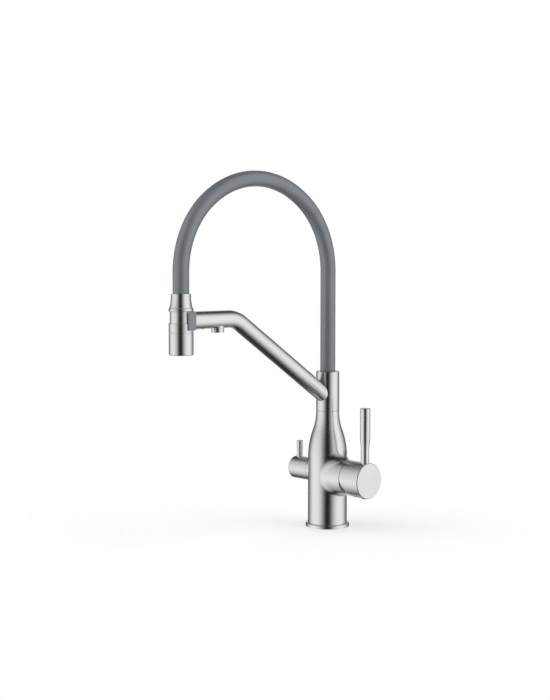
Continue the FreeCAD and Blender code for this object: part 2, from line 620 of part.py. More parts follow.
def make_body():
    """Bottle-shaped casting with the mixer boss, the valve boss and its water ways."""
    narrowing = d.body_radius - d.neck_radius
    both_curves = d.shoulder_outer_curve + d.shoulder_inner_curve
    share = d.shoulder_outer_curve / both_curves
    meeting_radius = d.body_radius - narrowing * share
    bottle = turned("bottle", "Z", [
        (0, d.foot_recess),
        (d.foot_radius, d.foot_recess),
        (d.foot_radius, d.base_height),
        (d.body_radius, d.base_height),
        (d.body_radius, d.shoulder_start),
        (meeting_radius, d.shoulder_start + d.shoulder_rise * share, d.shoulder_outer_curve, LEFT),
        (d.neck_radius, d.neck_top - d.neck_run, d.shoulder_inner_curve, RIGHT),
        (d.neck_radius, d.neck_top),
        (0, d.neck_top),
    ], (0, 0, 0), QUARTER_TURN)
    quarters = [quarter_boss(turn) for turn in range(0, 360, RIGHT_ANGLE)]
    with_boss = join("bottle_with_boss", bottle, *quarters)
    with_boss.Refine = False
    doc.recompute()
    blended = doc.addObject("Part::Fillet", "blended_bottle")
    blended.Base = with_boss
    blended.Edges = junction_blends(with_boss.Shape)
    valve_boss = rod("valve_boss", d.hub_radius, d.valve_boss_face,
                     (-d.valve_boss_face, 0, d.valve_height), ALONG_X)
    casting = join("casting", blended, valve_boss)

    chamber = rod("chamber", d.chamber_radius, d.boss_face - d.chamber_seat + OVERRUN,
                  (d.chamber_seat, 0, d.mixer_height), ALONG_X)
    port_height = d.mixer_height - d.inlet_port_drop
    tools = [chamber]
    for name, side in (("hot", d.supply_side), ("cold", -d.supply_side)):
        port_side = d.inlet_port_side if name == "hot" else -d.inlet_port_side
        tools += [
            rod(name + "_port", d.port_radius, d.chamber_seat - d.supply_forward + OVERRUN,
                (d.supply_forward, port_side, port_height), ALONG_X),
            rod(name + "_way", d.supply_radius, port_height,
                (d.supply_forward, side, 0)),
            rod(name + "_thread", d.inlet_thread_radius, d.inlet_thread_depth,
                (d.supply_forward, side, d.foot_recess)),
        ]
    outlet_height = d.mixer_height + d.outlet_port_rise
    socket_floor = d.neck_top - d.core_socket_depth
    tools += [
        rod("mixed_port", d.port_radius, d.chamber_seat + OVERRUN, (0, 0, outlet_height), ALONG_X),
        rod("mixed_way", d.mixed_way_radius, socket_floor - outlet_height + OVERRUN,
            (0, 0, outlet_height)),
        rod("core_socket", d.core_socket_radius, d.core_socket_depth + OVERRUN,
            (0, 0, socket_floor)),
        rod("filter_way", d.filter_way_radius, d.valve_height,
            (-d.filter_supply_offset, 0, 0)),
        rod("filter_thread", d.inlet_thread_radius, d.inlet_thread_depth,
            (-d.filter_supply_offset, 0, d.foot_recess)),
        rod("stud_thread", d.stud_thread_radius, d.stud_thread_depth,
            (d.stud_offset, 0, d.foot_recess)),
        rod("valve_bore", d.valve_shell_radius + d.fit_gap,
            d.valve_boss_face - d.valve_bore_start + OVERRUN,
            (-d.valve_boss_face - OVERRUN, 0, d.valve_height), ALONG_X),
        slanted_riser(socket_floor),
    ]
    keep(cut("body_casting", casting, *tools), "tap_body")


def quarter_boss(turn):
    """Quarter of the mixer boss; its edges let the blend change from top to side."""
    rotation = ALONG_X.multiply(FreeCAD.Rotation(FreeCAD.Vector(0, 0, 1), turn))
    quarter = rod(f"boss_quarter_{turn}", d.boss_radius, d.boss_face,
                  (0, 0, d.mixer_height), rotation)
    quarter.Angle = RIGHT_ANGLE
    return quarter


def junction_blends(shape):
    """Number and end radii of each edge between the upright body and the mixer boss."""
    blends = []
    for number, edge in enumerate(shape.Edges, start=1):
        middle = edge.valueAt((edge.FirstParameter + edge.LastParameter) / 2)
        from_column = math.hypot(middle.x, middle.y)
        from_boss = math.hypot(middle.y, middle.z - d.mixer_height.value)
        on_boss = abs(from_boss - d.boss_radius.value) < MEETING
        on_column = abs(from_column - d.body_radius.value) < MEETING
        if on_boss and on_column and middle.x > 0:
            first = blend_radius(edge.valueAt(edge.FirstParameter))
            last = blend_radius(edge.valueAt(edge.LastParameter))
            blends.append((number, first, last))
    return blends


def blend_radius(point):
    """Radius of the blend at a point: small above and below the boss, large at its sides."""
    share = abs(point.y) / d.boss_radius.value
    return d.boss_top_blend.value + (d.boss_side_blend.value - d.boss_top_blend.value) * share


def slanted_riser(socket_floor):
    """Way of the filtered water from the valve's window up to the core."""
    across = d.valve_window_distance - d.riser_offset
    start_height = d.valve_height + d.valve_chamber_radius
    climb = socket_floor - start_height
    lean = arc_tangent(across / climb)
    riser = rod("riser", d.riser_radius, root(across * across + climb * climb),
                (-d.valve_window_distance, 0, start_height))
    riser.Placement.Rotation = FreeCAD.Rotation(FreeCAD.Vector(0, 1, 0), lean.value)
    bind(riser, "Placement.Rotation.Angle", lean)
    return riser


def make_swivel_core():
    """Fixed core that the collar turns on, with its seal rings and washer."""
    outer = d.collar_bore_radius - d.running_gap
    half_groove = d.ring_groove_width / 2
    half_track = d.track_width / 2
    outline = [
        (0, d.neck_top - d.core_socket_depth + d.fit_gap),
        (d.core_shank_radius, d.neck_top - d.core_socket_depth + d.fit_gap),
        (d.core_shank_radius, d.neck_top),
        (outer, d.neck_top),
    ]
    grooves = [
        (d.ring_low_height - half_groove, d.ring_low_height + half_groove, d.ring_groove_radius),
        (d.track_height - half_track, d.track_height + half_track, d.track_radius),
        (d.ring_middle_height - half_groove, d.ring_middle_height + half_groove,
         d.ring_groove_radius),
        (d.gallery_low, d.gallery_high, d.gallery_radius),
        (d.ring_high_height - half_groove, d.ring_high_height + half_groove,
         d.ring_groove_radius),
    ]
    for low, high, bottom in grooves:
        outline += [(outer, low), (bottom, low), (bottom, high), (outer, high)]
    outline += [(outer, d.core_top), (0, d.core_top)]
    core = turned("core", "Z", outline)
    low = d.neck_top - d.core_socket_depth
    bore = rod("core_bore", d.core_bore_radius, d.core_top - low + OVERRUN, (0, 0, low))
    riser = rod("core_riser", d.riser_radius, d.gallery_high - d.riser_end_inset - low,
                (-d.riser_offset, 0, low))
    keep(cut("core_drilled", core, bore, riser), "swivel_core")
    seat = d.ring_groove_radius + d.ring_wire_radius + d.fit_gap / 2
    for place_name in ("low", "middle", "high"):
        height = getattr(d, f"ring_{place_name}_height")
        seal = ring(f"{place_name}_ring", seat, d.ring_wire_radius, (0, 0, height))
        keep(seal, f"swivel_seal_ring_{place_name}")
    washer = turned("washer", "Z", [
        (d.collar_bore_radius + d.fit_gap, d.neck_top),
        (d.washer_radius, d.neck_top),
        (d.washer_radius, d.neck_top + d.seam_gap - d.running_gap),
        (d.collar_bore_radius + d.fit_gap, d.neck_top + d.seam_gap - d.running_gap),
    ])
    keep(washer, "swivel_washer")


def make_collar():
    """Turning collar with its set screw and the nipple for the hose."""
    low = d.neck_top + d.seam_gap
    collar = turned("collar", "Z", [
        (d.collar_bore_radius, low),
        (d.neck_radius, low),
        (d.neck_radius, d.collar_top - d.collar_rim_bevel),
        (d.neck_radius - d.collar_rim_bevel, d.collar_top),
        (d.hose_socket_radius, d.collar_top),
        (d.hose_socket_radius, d.hose_socket_floor),
        (d.nipple_thread_radius, d.hose_socket_floor),
        (d.nipple_thread_radius, d.collar_bore_top),
        (d.collar_bore_radius, d.collar_bore_top),
    ])
    way = rod("arm_way", d.water_tube_radius + d.fit_gap, d.neck_radius * 2, arm_root())
    way.Placement.Rotation = slope_rotation()
    bind(way, "Placement.Rotation.Angle", 90 - d.arm_slope)
    screw_hole = rod("collar_screw_hole", d.collar_screw_radius + d.fit_gap / 2, d.neck_radius,
                     (0, d.collar_bore_radius / 2, d.track_height), ALONG_Y)
    keep(cut("collar_drilled", collar, way, screw_hole), "swivel_collar")

    tip = d.neck_radius - d.collar_screw_length - d.fit_gap
    screw = rod("collar_screw", d.collar_screw_radius, d.collar_screw_length,
                (0, tip, d.track_height), ALONG_Y)
    key = rod("collar_screw_key", d.collar_screw_radius / 2, d.collar_screw_length,
              (0, tip + d.collar_screw_length / 2, d.track_height), ALONG_Y)
    keep(cut("collar_screw_socketed", screw, key), "collar_set_screw")

    floor = d.hose_socket_floor
    nipple = turned("nipple", "Z", [
        (d.water_tube_radius, d.collar_bore_top - d.fit_gap),
        (d.nipple_thread_radius - d.fit_gap, d.collar_bore_top - d.fit_gap),
        (d.nipple_thread_radius - d.fit_gap, floor),
        (d.nipple_flange_radius, floor),
        (d.nipple_flange_radius, floor + d.nipple_flange_height),
        (d.tail_radius, floor + d.nipple_flange_height),
        (d.tail_radius, floor + d.nipple_flange_height + d.nipple_length),
        (d.water_tube_radius, floor + d.nipple_flange_height + d.nipple_length),
    ])
    keep(nipple, "hose_nipple")


def arm_root():
    """Point where the slanted run's axis meets the column axis."""
    return (0, 0, d.arm_root_height)


def slope_rotation():
    """Turns the Z axis down to the direction of the slanted run."""
    return FreeCAD.Rotation(FreeCAD.Vector(1, 0, 0), 90 - d.arm_slope.value)


def arm_path(name, end_reach):
    """The arm's axis from a reach on its level run down to the column."""
    setback = d.arm_bend_radius * tangent(d.arm_slope / 2)
    points = [
        (end_reach, d.arm_height),
        (d.arm_corner_reach + setback, d.arm_height),
        (d.arm_corner_reach - setback * cosine(d.arm_slope),
         d.arm_height - setback * sine(d.arm_slope), d.arm_bend_radius, LEFT),
        (0, arm_root()[2]),
    ]
    return route(name, points)


def make_arm():
    """Bent arm tube, its inner tube and the outlet for filtered water."""
    path = arm_path("arm_axis", d.arm_end_reach)
    end = (0, -d.arm_end_reach, d.arm_height)
    outside = swept("arm_outside", d.arm_radius, path, end, ALONG_Y)
    inside = swept("arm_inside", d.arm_radius - d.arm_wall, path, end, ALONG_Y)
    root_cut = rod("arm_root_cut", d.neck_radius + d.fit_gap / 2, d.collar_top, (0, 0, 0))
    nozzle_hole = rod("arm_nozzle_hole", d.elbow_way_radius, d.arm_radius,
                      (0, -d.nozzle_reach, d.arm_height - d.arm_radius - OVERRUN))
    screw_hole = rod("arm_screw_hole", d.dock_screw_radius + d.fit_gap / 2, d.arm_radius,
                     (0, -d.dock_screw_reach, d.arm_height - d.arm_radius - OVERRUN))
    end_cut = rod("arm_end_cut", d.dock_radius + d.fit_gap / 2, d.arm_radius * 2 + OVERRUN * 2,
                  (0, -d.head_reach, d.arm_height - d.arm_radius - OVERRUN))
    tube = cut("arm_tube", outside, inside, root_cut, end_cut, nozzle_hole, screw_hole)
    keep(tube, "spout_arm")

    tube_end = d.nozzle_reach - d.elbow_length / 4
    tube_path = arm_path("water_tube_axis", tube_end)
    tube_start = (0, -tube_end, d.arm_height)
    tube_outside = swept("water_tube_outside", d.water_tube_radius, tube_path, tube_start, ALONG_Y)
    tube_inside = swept("water_tube_inside", d.water_tube_bore, tube_path, tube_start, ALONG_Y)
    clear = rod("water_tube_root_cut", d.collar_bore_radius + d.seam_gap, d.collar_top, (0, 0, 0))
    keep(cut("water_tube", tube_outside, tube_inside, clear), "filter_water_tube")

    half = d.elbow_length / 2
    elbow = rod("elbow", d.arm_radius - d.arm_wall - d.fit_gap, d.elbow_length,
                (0, -d.nozzle_reach - half, d.arm_height), ALONG_Y)
    elbow_socket = rod("elbow_socket", d.water_tube_radius + d.fit_gap, d.elbow_length,
                       (0, -tube_end, d.arm_height), ALONG_Y)
    elbow_way = rod("elbow_way", d.elbow_way_radius, half,
                    (0, -d.nozzle_reach - d.elbow_way_radius / 2, d.arm_height), ALONG_Y)
    elbow_drop = rod("elbow_drop", d.elbow_way_radius - d.fit_gap, d.arm_radius,
                     (0, -d.nozzle_reach, d.arm_height - d.arm_radius))
    keep(cut("elbow_drilled", elbow, elbow_socket, elbow_way, elbow_drop), "outlet_elbow")

    low = d.arm_height - d.arm_radius - d.nozzle_drop
    nozzle = rod("nozzle", d.nozzle_radius, d.arm_radius + d.nozzle_drop,
                 (0, -d.nozzle_reach, low))
    saddle = rod("nozzle_saddle", d.arm_radius + d.fit_gap / 2, d.nozzle_radius * 4,
                 (0, -d.nozzle_reach - d.nozzle_radius * 2, d.arm_height), ALONG_Y)
    bore = rod("nozzle_bore_cut", d.nozzle_bore, d.arm_radius,
               (0, -d.nozzle_reach, low - OVERRUN))
    keep(cut("nozzle_shaped", nozzle, saddle, bore), "filter_nozzle")
    insert = rod("nozzle_insert", d.nozzle_bore - d.fit_gap, d.aerator_height,
                 (0, -d.nozzle_reach, low + d.aerator_inset))
    way = rod("nozzle_insert_way", d.elbow_way_radius, d.aerator_height * 2,
              (0, -d.nozzle_reach, low + d.aerator_inset + d.aerator_height / 2))
    keep(cut("nozzle_insert_shaped", insert, way), "filter_aerator")


def make_dock():
    """Cradle at the arm's end that holds the spray head, and its screw."""
    low = d.arm_height - d.arm_radius
    height = d.arm_radius * 2
    centre = -d.head_reach
    step = d.barrel_top + d.fit_gap
    outside = rod("dock_outside", d.dock_radius, height, (0, centre, low))
    front = block("dock_front_cut", (d.dock_radius * 2, d.dock_radius, height + OVERRUN * 2),
                  (-d.dock_radius, centre - d.dock_horn - d.dock_radius, low - OVERRUN))
    rooms = []
    for name, room, start, length in (
        ("neck", d.dock_neck_room, step - OVERRUN, height),
        ("barrel", d.dock_barrel_room, low - OVERRUN, step - low + OVERRUN),
    ):
        rooms += [
            rod(f"dock_{name}_room", room, length, (0, centre, start)),
            block(f"dock_{name}_way", (room * 2, d.dock_radius, length),
                  (-room, centre - d.dock_radius, start)),
        ]
    spigot = rod("dock_spigot", d.arm_radius - d.arm_wall - d.fit_gap, d.dock_spigot_length,
                 (0, -d.arm_end_reach, d.arm_height), ALONG_Y)
    screw_low = low - d.dock_screw_stand
    screw_base = (0, -d.dock_screw_reach, screw_low)
    screw_room = rod("dock_screw_room", d.dock_screw_radius + d.fit_gap / 2,
                     d.dock_screw_length + d.fit_gap, screw_base)
    whole = join("dock_joined", outside, spigot)
    keep(cut("dock_cradle_shape", whole, front, screw_room, *rooms), "head_dock")
    screw = rod("dock_screw_shank", d.dock_screw_radius, d.dock_screw_length, screw_base)
    key = rod("dock_screw_key", d.dock_screw_radius / 2, d.dock_screw_length,
              (0, -d.dock_screw_reach, screw_low - d.dock_screw_length / 2))
    keep(cut("dock_screw_socketed", screw, key), "dock_set_screw")


def hose_path():
    """The hose's axis: two upright legs and an arch of three tangent arcs."""
    half_span = d.head_reach / 2
    flatness = (1 - sine(d.hose_side_turn)) / cosine(d.hose_side_turn)
    side_radius = (d.hose_rise - half_span * flatness) / (1 - flatness)
    top_radius = side_radius + (half_span - side_radius) / cosine(d.hose_side_turn)
    inset = side_radius * (1 - cosine(d.hose_side_turn))
    haunch = d.hose_spring_height + side_radius * sine(d.hose_side_turn)
    start = d.hose_socket_floor + d.nipple_flange_height + d.fit_gap
    points = [
        (0, start),
        (0, d.hose_spring_height),
        (inset, haunch, side_radius, RIGHT),
        (d.head_reach - inset, haunch, top_radius, RIGHT),
        (d.head_reach, d.hose_spring_height, side_radius, RIGHT),
        (d.head_reach, d.hose_end_height),
    ]
    print("hose arch radii", round(side_radius.value, 1), round(top_radius.value, 1))
    return route("hose_axis", points), (0, 0, start)


def make_hose():
    """Silicone sleeve and the hose inside it, from the collar to the ferrule."""
    path, start = hose_path()
    sleeve = cut("hose_sleeve_tube",
                 swept("sleeve_outside", d.hose_radius, path, start, ALONG_Z),
                 swept("sleeve_inside", d.hose_sleeve_bore, path, start, ALONG_Z))
    keep(sleeve, "hose_sleeve")
    inner = cut("inner_hose_tube",
                swept("inner_outside", d.inner_hose_radius, path, start, ALONG_Z),
                swept("inner_inside", d.inner_hose_bore, path, start, ALONG_Z))
    keep(inner, "inner_hose")


def make_head():
    """Ferrule, hose fitting, head body, check valve and their seal."""
    centre = (0, -d.head_reach, 0)
    thread_top = d.head_neck_top + d.head_thread_length
    lip_top = d.head_neck_top + d.ferrule_lip_height
    ferrule = turned("ferrule", "Z", [
        (d.head_thread_radius + d.fit_gap, d.head_neck_top),
        (d.ferrule_lip_radius - d.ferrule_lip_bevel, d.head_neck_top),
        (d.ferrule_lip_radius, d.head_neck_top + d.ferrule_lip_bevel),
        (d.ferrule_waist_radius, lip_top),
        (d.ferrule_top_radius, d.ferrule_top, d.ferrule_curve, RIGHT),
        (d.hose_radius + d.fit_gap, d.ferrule_top),
        (d.hose_radius + d.fit_gap, thread_top + d.fit_gap),
        (d.head_thread_radius + d.fit_gap, thread_top + d.fit_gap),
    ], centre)
    keep(ferrule, "hose_ferrule")

    fitting = turned("fitting", "Z", [
        (d.water_tube_radius, d.head_bore_floor + d.fit_gap),
        (d.head_bore_radius - d.fit_gap, d.head_bore_floor + d.fit_gap),
        (d.head_bore_radius - d.fit_gap, d.hose_end_height - d.fit_gap),
        (d.tail_radius, d.hose_end_height - d.fit_gap),
        (d.tail_radius, d.tail_top),
        (d.water_tube_radius, d.tail_top),
    ], centre)
    keep(fitting, "hose_end_fitting")

    seam = d.barrel_seam + d.seam_gap / 2
    valve_floor = d.barrel_seam + d.seam_gap
    head = turned("head", "Z", [
        (d.water_tube_radius, d.ring_spigot_bottom),
        (d.ring_spigot_radius, d.ring_spigot_bottom),
        (d.ring_spigot_radius, seam),
        (d.barrel_radius, seam),
        (d.barrel_radius, d.barrel_top - d.shoulder_edge),
        (d.barrel_radius - d.shoulder_edge, d.barrel_top, d.shoulder_edge, LEFT),
        (d.head_neck_radius, d.barrel_top),
        (d.head_neck_radius, d.head_neck_top),
        (d.head_thread_radius, d.head_neck_top),
        (d.head_thread_radius, thread_top),
        (d.head_bore_radius, thread_top),
        (d.head_bore_radius, d.head_bore_floor),
        (d.valve_bore_radius, d.head_bore_floor),
        (d.valve_bore_radius, valve_floor),
        (d.water_tube_radius, valve_floor),
    ], centre)
    keep(head, "head_body")

    valve = turned("one_way_valve", "Z", [
        (d.water_tube_bore, valve_floor + d.fit_gap),
        (d.valve_bore_radius - d.fit_gap, valve_floor + d.fit_gap),
        (d.valve_bore_radius - d.fit_gap, d.head_bore_floor - d.fit_gap),
        (d.water_tube_bore, d.head_bore_floor - d.fit_gap),
    ], centre)
    keep(valve, "check_valve")


def make_spray_ring():
    """Turning ring with the spray face, the diverter and the aerator."""
    centre = (0, -d.head_reach, 0)
    seam = d.barrel_seam - d.seam_gap / 2
    bottom = d.barrel_bottom
    cavity = d.barrel_radius - d.spray_wall
    face_top = bottom + d.spray_inset + d.spray_thickness
    shell = turned("spray_shell", "Z", [
        (cavity, bottom),
        (d.barrel_radius - d.barrel_edge, bottom),
        (d.barrel_radius, bottom + d.barrel_edge, d.barrel_edge, LEFT),
        (d.barrel_radius, seam),
        (d.ring_spigot_radius + d.running_gap, seam),
        (d.ring_spigot_radius + d.running_gap, d.ring_spigot_bottom - d.fit_gap),
        (cavity, d.ring_spigot_bottom - d.fit_gap),
    ], centre)
    keep(shell, "spray_ring")

    face = turned("spray_plate", "Z", [
        (d.head_aerator_radius + d.fit_gap, bottom + d.spray_inset),
        (cavity - d.fit_gap, bottom + d.spray_inset),
        (cavity - d.fit_gap, face_top),
        (d.head_aerator_radius + d.fit_gap, face_top),
    ], centre)
    holes = []
    for number in range(SPRAY_HOLES):
        turn = math.radians(360 * number / SPRAY_HOLES)
        holes.append(rod(f"spray_hole_{number + 1}", d.spray_hole_radius, d.spray_thickness + OVERRUN * 2,
                         (d.spray_circle_radius * math.sin(turn),
                          d.spray_circle_radius * math.cos(turn) - d.head_reach,
                          bottom + d.spray_inset - OVERRUN)))
    keep(cut("spray_plate_drilled", face, *holes), "spray_face")

    insert = turned("head_insert", "Z", [
        (0, bottom + d.spray_inset),
        (d.head_aerator_radius, bottom + d.spray_inset),
        (d.head_aerator_radius, bottom + d.spray_inset + d.head_aerator_height),
        (d.water_tube_radius, bottom + d.spray_inset + d.head_aerator_height),
        (d.water_tube_radius, face_top),
        (0, face_top),
    ], centre)
    keep(insert, "head_aerator")

    disc_low = bottom + d.spray_inset + d.head_aerator_height
    disc = turned("diverter", "Z", [
        (d.water_tube_radius, disc_low),
        (cavity - d.fit_gap, disc_low),
        (cavity - d.fit_gap, d.ring_spigot_bottom - d.seam_gap),
        (d.water_tube_radius, d.ring_spigot_bottom - d.seam_gap),
    ], centre)
    keep(disc, "spray_diverter")


def make_cartridge():
    """Cartridge shell, base, seals and ceramic discs in the mixer boss."""
    axis = (0, 0, d.mixer_height)
    hollow = d.cartridge_radius - d.cartridge_wall
    neck_bore = d.rotor_neck_radius + d.running_gap
    lip = d.rotor_flange_end + d.running_gap
    shell = turned("cartridge_shell", "X", [
        (d.chamber_seat, hollow),
        (lip, hollow),
        (lip, neck_bore),
        (d.cartridge_neck_end, neck_bore),
        (d.cartridge_neck_end, d.cartridge_neck_radius),
        (d.cartridge_end, d.cartridge_neck_radius),
        (d.cartridge_end, d.cartridge_radius),
        (d.chamber_seat, d.cartridge_radius),
    ], axis)
    keep(shell, "cartridge_shell")

    ports = (
        ("hot", d.inlet_port_side, d.mixer_height - d.inlet_port_drop),
        ("cold", -d.inlet_port_side, d.mixer_height - d.inlet_port_drop),
        ("mixed", as_size(0), d.mixer_height + d.outlet_port_rise),
    )
    seal_room = d.port_radius + d.seal_height
    fixed_start = d.chamber_seat + d.cartridge_base_thickness
    base_tools = []
    disc_tools = []
    for name, side, height in ports:
        base_tools += [
            rod(f"{name}_base_hole", d.port_radius, d.cartridge_base_thickness + OVERRUN * 2,
                (d.chamber_seat - OVERRUN, side, height), ALONG_X),
            rod(f"{name}_seal_room", seal_room, d.seal_height,
                (d.chamber_seat, side, height), ALONG_X),
        ]
        disc_tools.append(
            rod(f"{name}_disc_hole", d.port_radius, d.disc_thickness + OVERRUN * 2,
                (fixed_start - OVERRUN, side, height), ALONG_X))
        seal = cut(f"{name}_seal_ring",
                   rod(f"{name}_seal_outside", seal_room - d.fit_gap,
                       d.seal_height - d.fit_gap, (d.chamber_seat, side, height), ALONG_X),
                   rod(f"{name}_seal_inside", d.port_radius, d.seal_height + OVERRUN * 2,
                       (d.chamber_seat - OVERRUN, side, height), ALONG_X))
        keep(seal, f"cartridge_seal_{name}")
    base = rod("base_disc", hollow - d.fit_gap, d.cartridge_base_thickness,
               (d.chamber_seat, 0, d.mixer_height), ALONG_X)
    keep(cut("base_disc_ported", base, *base_tools), "cartridge_base")
    disc = rod("lower_disc", d.disc_radius, d.disc_thickness,
               (fixed_start, 0, d.mixer_height), ALONG_X)
    keep(cut("lower_disc_ported", disc, *disc_tools), "fixed_ceramic_disc")

    nut = turned("nut", "X", [
        (d.cartridge_end, d.cartridge_neck_radius + d.fit_gap),
        (d.nut_end, d.cartridge_neck_radius + d.fit_gap),
        (d.nut_end, d.nut_radius),
        (d.cartridge_end, d.nut_radius),
    ], axis)
    slots = []
    for number in range(NUT_SLOTS // 2):
        slot = block(f"nut_slot_{number + 1}",
                     (d.nut_slot_depth + OVERRUN, d.nut_radius * 2, d.nut_slot_width),
                     (d.nut_end - d.nut_slot_depth, -d.nut_radius,
                      d.mixer_height - d.nut_slot_width / 2))
        slots.append(turned_slot(slot, 360 * number / NUT_SLOTS))
    keep(cut("nut_slotted", nut, *slots), "cartridge_nut")

    centre = d.pivot_distance
    inner = d.bell_radius - d.bell_wall
    brim = d.nut_end + d.bell_wall
    bell = turned("bell", "X", [
        (d.nut_end, leg(inner, d.nut_end - centre)),
        (centre + leg(inner, d.bell_opening), d.bell_opening, inner, RIGHT),
        (centre + leg(d.bell_radius, d.bell_opening), d.bell_opening),
        (brim, leg(d.bell_radius, brim - centre), d.bell_radius, LEFT),
        (brim, d.nut_radius - d.fit_gap),
        (d.nut_end, d.nut_radius - d.fit_gap),
    ], axis)
    keep(bell, "trim_bell")


def turned_slot(slot, angle):
    """Turns a slot's block about the mixer axis."""
    radians = math.radians(angle)
    width = d.nut_slot_width
    slot.Placement.Rotation = FreeCAD.Rotation(FreeCAD.Vector(1, 0, 0), angle)
    across = -d.nut_radius * math.cos(radians) + width / 2 * math.sin(radians)
    up = -d.nut_radius * math.sin(radians) - width / 2 * math.cos(radians)
    bind(slot, "Placement.Base.y", across)
    bind(slot, "Placement.Base.z", d.mixer_height + up)
    return slot


def make_rotor():
    """Rotor that turns for temperature, with the stem's pivot pin."""
    axis = (0, 0, d.mixer_height)
    rotor = turned("rotor", "X", [
        (d.rotor_start, 0),
        (d.rotor_start, d.rotor_flange_radius),
        (d.rotor_flange_end, d.rotor_flange_radius),
        (d.rotor_flange_end, d.rotor_neck_radius),
        (d.rotor_end, d.rotor_neck_radius),
        (d.rotor_end, 0),
    ], axis)
    slot_width = d.stem_side + d.ball_room * 2
    half_slot = d.stem_slot_length / 2
    stem_slot = block("stem_slot", (d.rotor_end - d.rotor_start + OVERRUN * 2, slot_width, half_slot * 2),
                      (d.rotor_start - OVERRUN, -slot_width / 2, d.mixer_height - half_slot))
    half_boss = d.carrier_boss_side / 2 + d.ball_room
    carrier_slot = block("carrier_slot",
                         (d.rotor_flange_end - d.rotor_start + OVERRUN, half_boss * 2,
                          half_boss * 2 + d.carrier_travel + d.ball_room),
                         (d.rotor_start - OVERRUN, -half_boss, d.mixer_height - half_boss))
    pin_hole = rod("rotor_pin_hole", d.pivot_radius + d.pivot_seat_gap,
                   d.rotor_neck_radius * 2 + OVERRUN * 2,
                   (d.pivot_distance, -d.rotor_neck_radius - OVERRUN, d.mixer_height), ALONG_Y)
    keep(cut("rotor_slotted", rotor, stem_slot, carrier_slot, pin_hole), "cartridge_rotor")
    half_pin = d.rotor_neck_radius - d.ball_room
    pin = rod("pivot_pin", d.pivot_radius, half_pin * 2,
              (d.pivot_distance, -half_pin, d.mixer_height), ALONG_Y)
    keep(pin, "stem_pivot_pin")


def make_disc_carrier():
    """Carrier and moving ceramic disc, slid by the ball on the stem's tail."""
    disc_start = d.chamber_seat + d.cartridge_base_thickness + d.disc_thickness
    plate_start = disc_start + d.disc_thickness
    centre_height = d.mixer_height - d.disc_rest_drop
    disc = rod("upper_disc", d.moving_disc_radius, d.disc_thickness,
               (disc_start, 0, centre_height), ALONG_X)
    chamber = rod("mixing_hollow", d.moving_disc_radius / 2, d.disc_thickness / 2 + OVERRUN,
                  (disc_start - OVERRUN, 0, centre_height), ALONG_X)
    keep(cut("upper_disc_hollowed", disc, chamber), "moving_ceramic_disc")
    plate = rod("carrier_plate", d.moving_disc_radius, d.rotor_start - d.ball_room - plate_start,
                (plate_start, 0, centre_height), ALONG_X)
    boss_start = plate_start + OVERRUN
    boss = block("carrier_boss",
                 (d.carrier_boss_end - boss_start, d.carrier_boss_side, d.carrier_boss_side),
                 (boss_start, -d.carrier_boss_side / 2,
                  d.mixer_height - d.carrier_boss_side / 2))
    pocket_start = d.pivot_distance - d.stem_ball_lever - d.stem_ball_radius - d.ball_room * 2
    pocket = rod("ball_pocket", d.stem_ball_radius + d.ball_room, d.stem_ball_lever * 2,
                 (pocket_start, 0, d.mixer_height), ALONG_X)
    keep(cut("carrier_pocketed", join("carrier_joined", plate, boss), pocket), "disc_carrier")


def make_stem():
    """Square stem with a round tail and a ball, tilting on the pivot pin."""
    ball_distance = d.pivot_distance - d.stem_ball_lever
    square_start = d.pivot_distance - d.stem_side / 2 + d.fit_gap
    square = block("stem_square", (d.stem_end - square_start, d.stem_side, d.stem_side),
                   (square_start, -d.stem_side / 2, d.mixer_height - d.stem_side / 2))
    tail = rod("stem_tail", d.stem_tail_radius, square_start - ball_distance + OVERRUN,
               (ball_distance, 0, d.mixer_height), ALONG_X)
    ball = doc.addObject("Part::Sphere", "stem_ball")
    bind(ball, "Radius", d.stem_ball_radius)
    place(ball, (ball_distance, 0, d.mixer_height))
    hole = rod("stem_pin_hole", d.pivot_radius + d.running_gap, d.stem_side * 2,
               (d.pivot_distance, -d.stem_side, d.mixer_height), ALONG_Y)
    keep(cut("stem_drilled", join("stem_joined", square, tail, ball), hole), "cartridge_stem")


